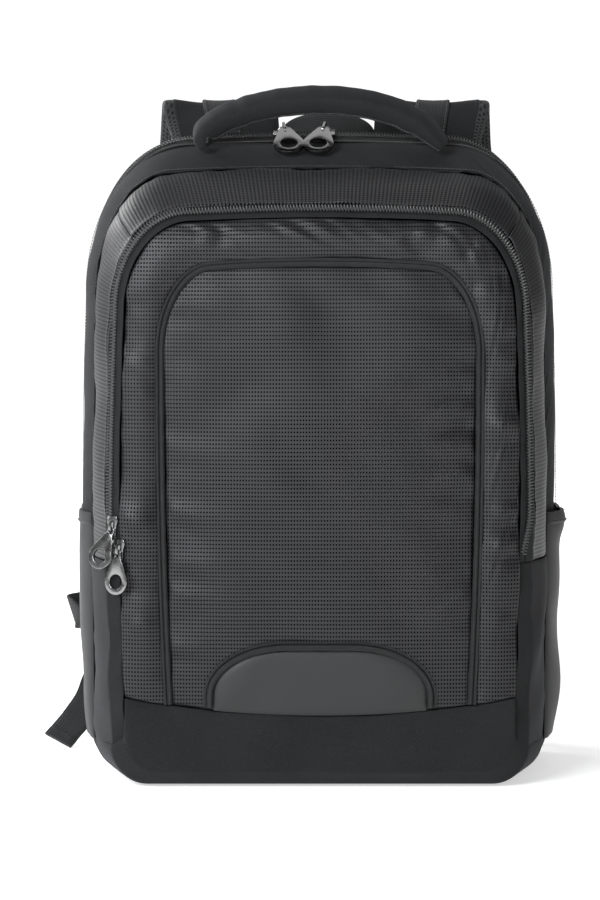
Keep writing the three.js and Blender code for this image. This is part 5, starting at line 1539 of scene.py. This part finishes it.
def webbingTail(name, side, rows):
    centre, across, along, up = bucklePlace(side)
    start = centre + up * (buckle["wall"] / 2 + cloth["gap"] + webbing["wall"] / 2)
    leave = start + along * buckle["length"] / 2 + up * webbing["wall"]
    base = bag["backSeam"] + backPad["foam"]
    route = [(a * halfWidth, base + b * strap["arch"], u * bag["height"]) for a, b, u, w in rows]
    route = [start, leave] + route
    wides = [across, across] + [w for a, b, u, w in rows]
    count = (len(rows) + 2) * 10
    points = smoothCurve(route, count)
    frames = framesAlong(points, smoothCurve(wides, count))
    end, aheadAcross, aheadUp = (a[-1] for a in frames)
    ahead = unit(points[-1] - points[-4])
    reach = np.array([0.05, 0.125, 0.3125, 0.5, 0.6875, 0.85, 0.95, 1.0])[:, None] * tailHem["length"]
    thick = np.array([0.7, 0.95, 1, 1, 1, 1, 0.9, 0.55]) * tailHem["wall"]
    frames = (np.concatenate([points, end + ahead * reach]),
              np.concatenate([frames[1], aheadAcross + 0 * reach]),
              np.concatenate([frames[2], aheadUp + 0 * reach]))
    walls = np.concatenate([np.full(len(points), webbing["wall"]), thick])
    sections = np.stack([flatSection(webbing["width"], w) for w in walls])
    dress(sweep("free_webbing_" + name, frames, sections), "webbing", "webbing", "webbing_tail_" + name)


def fromNode(name, node, bevel, segments, sharpAngle=30):
    # a copy of a hard node with rounded edges
    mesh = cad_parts[node].data.copy()
    whole = bmesh.new()
    whole.from_mesh(mesh)
    bmesh.ops.remove_doubles(whole, verts=whole.verts, dist=0.02 * mm)
    bmesh.ops.dissolve_limit(whole, angle_limit=math.radians(1), verts=whole.verts, edges=whole.edges)
    shared = [e for e in whole.edges if len(e.link_faces) == 2]
    edges = [e for e in shared if e.calc_face_angle(0) > math.radians(sharpAngle)]
    bmesh.ops.bevel(whole, geom=edges, offset=bevel * mm, offset_type="OFFSET", segments=segments,
                    profile=0.5, affect="EDGES", clamp_overlap=True)
    bmesh.ops.triangulate(whole, faces=[f for f in whole.faces if len(f.verts) > 4])
    whole.to_mesh(mesh)
    whole.free()
    mesh.materials.clear()
    mesh.polygons.foreach_set("use_smooth", np.ones(len(mesh.polygons), dtype=bool))
    mesh.set_sharp_from_angle(angle=math.radians(35))
    thing = bpy.data.objects.new(name, mesh)
    bpy.context.collection.objects.link(thing)
    return thing


def strapFittings():
    for name, side, rows in (("left", -1, leftTailRows), ("right", 1, rightTailRows)):
        lowerWebbing(name, side)
        webbingTail(name, side, rows)
        dress(fromNode("adjuster_" + name, "strap_buckle_" + name, 0.8, 3),
              "buckle", "buckle", "strap_buckle_" + name)
        dress(tabCloth(name, side), "plain_cloth", "plain_cloth", "strap_tab_" + name)


def tabCloth(name, side):
    centre = tabPlace(side)
    u = 2 * edgeSpaced(tab["width"], 1.6) - 1
    v = edgeSpaced(tab["height"], 1.6)
    halfX = lerp(tab["width"] / 2, webbing["width"] / 2 + 2, v)[:, None]
    x = centre[0] + halfX * u[None, :]
    z = centre[2] + (v[:, None] - 0.5) * tab["height"] + 0 * x
    edge = np.minimum(np.minimum((1 - np.abs(u[None, :])) * halfX, (1 - v[:, None]) * tab["height"]),
                      v[:, None] * tab["height"])
    y = centre[1] + tab["wall"] / 2 + 0.5 * bump(edge - 5, 3) - 0.9 * np.exp(-edge / 0.8)
    outer = np.stack([x, y, z], axis=-1)
    inner = np.stack([x, centre[1] - tab["wall"] / 2 + 0 * x, z], axis=-1)
    return padFrom("tab_cloth_" + name, outer, inner, np.stack([x, z], axis=-1))


strapFittings()
anchor = {"width": 214, "height": 34, "wall": 3, "z": 0.865}


def anchorCover():
    z0 = bag["height"] * anchor["z"]
    y0 = bag["backSeam"] + backPad["foam"] + 2 * cloth["gap"] + anchor["wall"] / 2
    u = 2 * edgeSpaced(anchor["width"], 2.2) - 1
    v = 2 * edgeSpaced(anchor["height"], 1.8) - 1
    x = u[None, :] * anchor["width"] / 2 + 0 * v[:, None]
    z = z0 + v[:, None] * anchor["height"] / 2 + 0 * x
    edge = np.minimum((1 - np.abs(u[None, :])) * anchor["width"] / 2,
                      (1 - np.abs(v[:, None])) * anchor["height"] / 2)
    relief = 0.6 * bump(edge - 6, 4) - 1.2 * np.exp(-edge / 0.9) - 0.5 * bump(edge - 3, 0.7)
    y = y0 + anchor["wall"] / 2 + relief
    outer = np.stack([x, y, z], axis=-1)
    inner = np.stack([x, y0 - anchor["wall"] / 2 + 0 * x, z], axis=-1)
    dress(padFrom("anchor_cloth", outer, inner, np.stack([x, z], axis=-1)),
          "plain_cloth", "plain_cloth", "strap_anchor_cover")


anchorCover()
print("webbing and fittings made")


# zips
def coilRing(s):
    fromEnd = np.minimum(s, mirrorS(s)) - sideAt(front["cornerPanelTop"], frontZipLoop)
    bend = front["coilBend"] / (loopShoulder(frontZipLoop) - loopFoot(frontZipLoop))
    return lerp(front["coilEndRing"], front["coilRing"], smoothStep(fromEnd, 0, bend))


def evenSteps(low, high, ringAt, step=1.0):
    trial = np.linspace(low, high, 4000)
    lengths = lengthsOf(bodyPoint(trial, ringAt(trial)))
    return np.interp(np.arange(0, lengths[-1], step), lengths, trial)


def evenPath(low, high, ringAt, height):
    s = evenSteps(low, high, ringAt)
    return bodyPath(s, ringAt(s), height)


def topZipPath():
    low, high = upperLow(topZipLoop) + 0.02, upperHigh(topZipLoop) - 0.02
    s = evenSteps(low, high, lambda s: topZipLoop + 0 * s)
    normals = bodyNormal(s, topZipLoop)
    ahead = unit(bodyPoint(s, topZipLoop + 0.05) - bodyPoint(s, topZipLoop - 0.05))
    slope = (mainStrips["crown"] + mainStrips["dip"]) / mainStrips["tapeWidth"]
    lean = topLean(s)[:, None]
    middle = (mainStrips["crown"] - mainStrips["dip"]) / 2
    return (bodyPoint(s, topZipLoop) + normals * (-0.5 + (0.7 + middle) * lean),
            unit(normals + ahead * slope * lean))


def zips():
    pair = toothPair()
    tops = topZipPath()
    lowFront = frontLow(frontZipLoop) + 0.01
    fronts = evenPath(lowFront, mirrorS(lowFront), coilRing, 0.8)
    rows = (("top_zip_teeth", tops, "main_zip_coil"), ("front_zip_teeth", fronts, "front_zip_coil"))
    for name, path, node in rows:
        teeth = itemsAlong(name, [path], pair, coil["pitch"], "coil")
        core = sweep("core", framesAlong(path[0][::3], path[1][::3]), roundSection(0.3, 0.9, 6))
        dress(joined(name, [teeth, core]), "coil", "piping_and_coil", node)
    bpy.data.objects.remove(pair)


zips()
print("zips made")


def stitchLines():
    item = stitchItem()
    paths = []
    lowTop = upperLow(topZipLoop) + 0.05
    beside = topZipLoop + tapeBefore + shareOfSpan(5.2, topZipLoop)
    seam = seamLoop - shareOfSpan(1.6, topZipLoop)
    behind = topZipLoop - tapeBehind - shareOfSpan(3.0, backLoop)
    for ring, height in ((beside, 0.4), (seam, 0.0), (behind, 0.3)):
        paths.append(evenPath(lowTop, mirrorS(lowTop), lambda s: ring + 0 * s, height))
    for turn in handle["stitches"]:
        points, out = handleLine(handleFrames, handleSizes, turn, 0.2)
        paths.append((points[8:-8], out[8:-8]))
    fine = itemsAlong("top_stitching", paths, item, stitch["step"], "thread", 1.0, stitch["wobble"])
    dress(fine, "thread", "plain_cloth")
    coarse = itemsAlong("back_stitching", backStitches(), item, stitch["backStep"], "thread",
                        stitch["backSize"], stitch["wobble"])
    dress(coarse, "thread", "plain_cloth")
    bpy.data.objects.remove(item)


def straightPath(corners, count=24):
    legs = [np.linspace(a, b, count, endpoint=False) for a, b in zip(corners[:-1], corners[1:])]
    points = np.concatenate([*legs, [corners[-1]]])
    return points, np.array([0.0, 1.0, 0.0]) + 0 * points


def backStitches():
    # along the strap webbing, round the anchor cover and the tabs, along the quilting and the pocket hems
    paths = []
    for points, across, up in topWebbing.values():
        for side in (-1, 1):
            line = points + across * side * (webbing["width"] / 2 - 1.8)
            paths.append((line + up * webbing["wall"] * 0.55, up))
    z0 = bag["height"] * anchor["z"]
    y0 = bag["backSeam"] + backPad["foam"] + 2 * cloth["gap"] + anchor["wall"]
    halfX, halfZ = anchor["width"] / 2 - 3, anchor["height"] / 2 - 3
    corners = [(-halfX, y0, z0 - halfZ), (halfX, y0, z0 - halfZ), (halfX, y0, z0 + halfZ),
               (-halfX, y0, z0 + halfZ), (-halfX, y0, z0 - halfZ)]
    paths.append(straightPath(np.array(corners, float)))
    for side in (-1, 1):
        centre = tabPlace(side) + [0, tab["wall"] / 2 + 0.1, 0]
        foot, top, half = tab["width"] / 2 - 3, webbing["width"] / 2 - 1, tab["height"] / 2 - 3
        low, high = -half, half
        corners = [(-foot, 0, low), (foot, 0, low), (top, 0, high), (-top, 0, high), (-foot, 0, low)]
        paths.append(straightPath(centre + np.array(corners, float)))
        for quilt in backPad["quilts"]:
            x = side * np.linspace(24, 130, 50)
            z = quiltLine(quilt, x)
            y = bag["backSeam"] + cloth["gap"] + backPad["foam"] - 4.5 + 0 * x
            paths.append((np.stack([x, y, z], axis=-1), np.array([0.0, 1.0, 0.0]) + np.zeros((50, 3))))
        paths.append(hemPath(side > 0))
    return paths


stitchLines()

# the top pulls by their place on the loop of the top zip; they lean forward there and are a little larger
pullPlaces = {"front_upper": None, "front_lower": None, "top_left": 4.36, "top_right": 4.52}
zipMetalSizes = {"pullBevel": 0.75, "sliderBevel": 0.35, "pullLean": 24, "pullSize": 1.2,
                 "sliderLean": 20, "sliderSize": 1.1}


def leanOver(thing, s, degrees, size):
    # turns a pull or slider of the top zip forward about the zip line, so that it follows the slope there
    hinge = bodyPoint(s, topZipLoop)
    co = np.empty(len(thing.data.vertices) * 3, dtype=np.float32)
    thing.data.vertices.foreach_get("co", co)
    co = (co.reshape(-1, 3) / mm - hinge) * size
    c, n = math.cos(math.radians(degrees)), math.sin(math.radians(degrees))
    co = np.stack([co[:, 0], co[:, 1] * c - co[:, 2] * n, co[:, 1] * n + co[:, 2] * c], axis=-1) + hinge
    thing.data.vertices.foreach_set("co", (co * mm).astype(np.float32).ravel())
    thing.data.update()


def zipMetal():
    sizes = zipMetalSizes
    for name, s in pullPlaces.items():
        pull = fromNode("pull_" + name, "zip_pull_" + name, sizes["pullBevel"], 3)
        slider = fromNode("slider_" + name, "zip_slider_" + name, sizes["sliderBevel"], 2)
        if s:
            leanOver(pull, s, sizes["pullLean"], sizes["pullSize"])
            leanOver(slider, s, sizes["sliderLean"], sizes["sliderSize"])
        dress(pull, "gunmetal", "gunmetal", "zip_pull_" + name)
        dress(slider, "gunmetal", "gunmetal", "zip_slider_" + name)


zipMetal()
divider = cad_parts["divider_panel"]
divider.data.materials.clear()
divider.data.materials.append(finishes["inner_cloth"])
print("stitches and metal made")


# floor, lights and camera
studio = {"floor": 0.9, "floorGlow": 0.55, "backdrop": 1.05, "room": 0.2}
lamps = [
    # name   place               aim height size       power tint
    ("key", (-1.15, -1.8, 1.2), 0.24, (1.0, 0.8), 50, (0.94, 0.97, 1)),
    ("side", (-1.7, 0.1, 0.85), 0.24, (0.7, 1.0), 12, (0.93, 0.97, 1)),
    ("fill", (1.8, -1.1, 0.7), 0.24, (0.9, 1.3), 0.6, (1, 1, 1)),
    ("front", (0.1, -2.2, 0.75), 0.24, (0.7, 0.2), 4, (1, 1, 1)),
    ("rear", (-1.5, 1.6, 1.3), 0.24, (0.9, 0.9), 26, (1, 1, 1)),
    ("top", (0, 0.35, 2.0), 0.45, (1.2, 1.5), 5, (1, 1, 1)),
]
# 600 by 900 in the photo, which a lens of 133 mm fills from 2.4 m away
view = {"lens": 133.2, "sensor": 36, "place": (-0.014, -2.3926, 0.4203), "pitch": 4.5}


def paleFloor():
    # a matt white sweep that also glows, weakly near the bag and fully far away, so that it ends in the white
    # backdrop; the glow is painted light that lifts the shadows cast on the floor
    bpy.ops.mesh.primitive_plane_add(size=24, location=(0, 0, 0))
    floor = bpy.context.object
    floor.name = "floor"
    material, tree, shader = newMaterial("pale floor", {
        "Roughness": 0.9, "Specular IOR Level": 0.1, "Emission Color": (1, 1, 1, 1)})
    place = objectPlace(tree)
    inputTo(tree, shader.inputs["Base Color"],
            mixed(tree, noise(tree, place, 3.0), grey(studio["floor"]), grey(studio["floor"] * 1.03)))
    away = tree.nodes.new("ShaderNodeVectorMath")
    away.operation = "LENGTH"
    tree.links.new(place, away.inputs[0])
    # the floor's glow: painted light, weaker near the bag, that lifts the shadows on the floor
    glow = mapped(tree, away.outputs["Value"], 0.45, 2.2, studio["floorGlow"], 1.0)
    inputTo(tree, shader.inputs["Emission Strength"], glow)
    floor.data.materials.append(material)


def softLight(name, place, aim, size, power, tint):
    data = bpy.data.lights.new(name, "AREA")
    data.shape = "RECTANGLE"
    data.size, data.size_y = size
    data.energy = power
    data.color = tint
    lamp = bpy.data.objects.new(name, data)
    lamp.location = place
    lamp.rotation_euler = (Vector((0, 0, aim)) - Vector(place)).to_track_quat("-Z", "Y").to_euler()
    bpy.context.collection.objects.link(lamp)


def studioWorld():
    # a white backdrop behind the bag and a dim room in front of it
    world = bpy.data.worlds.new("studio")
    world.use_nodes = True
    tree = world.node_tree
    background = tree.nodes["Background"]
    background.inputs["Color"].default_value = (1, 1, 1, 1)
    direction = tree.nodes.new("ShaderNodeTexCoord")
    split = tree.nodes.new("ShaderNodeSeparateXYZ")
    tree.links.new(direction.outputs["Generated"], split.inputs[0])
    strength = mapped(tree, split.outputs["Y"], 0.88, 0.97, studio["room"], studio["backdrop"])
    inputTo(tree, background.inputs["Strength"], strength)
    bpy.context.scene.world = world


def studioLight():
    studioWorld()
    for lamp in lamps:
        softLight(*lamp)
    bpy.context.scene.view_settings.view_transform = "Standard"


def photoCamera():
    data = bpy.data.cameras.new("camera")
    data.lens = view["lens"]
    data.sensor_width = view["sensor"]
    camera = bpy.data.objects.new("camera", data)
    camera.location = view["place"]
    camera.rotation_euler = (math.radians(90 - view["pitch"]), 0, 0)
    bpy.context.collection.objects.link(camera)
    bpy.context.scene.camera = camera


paleFloor()
studioLight()
photoCamera()
print("studio set")
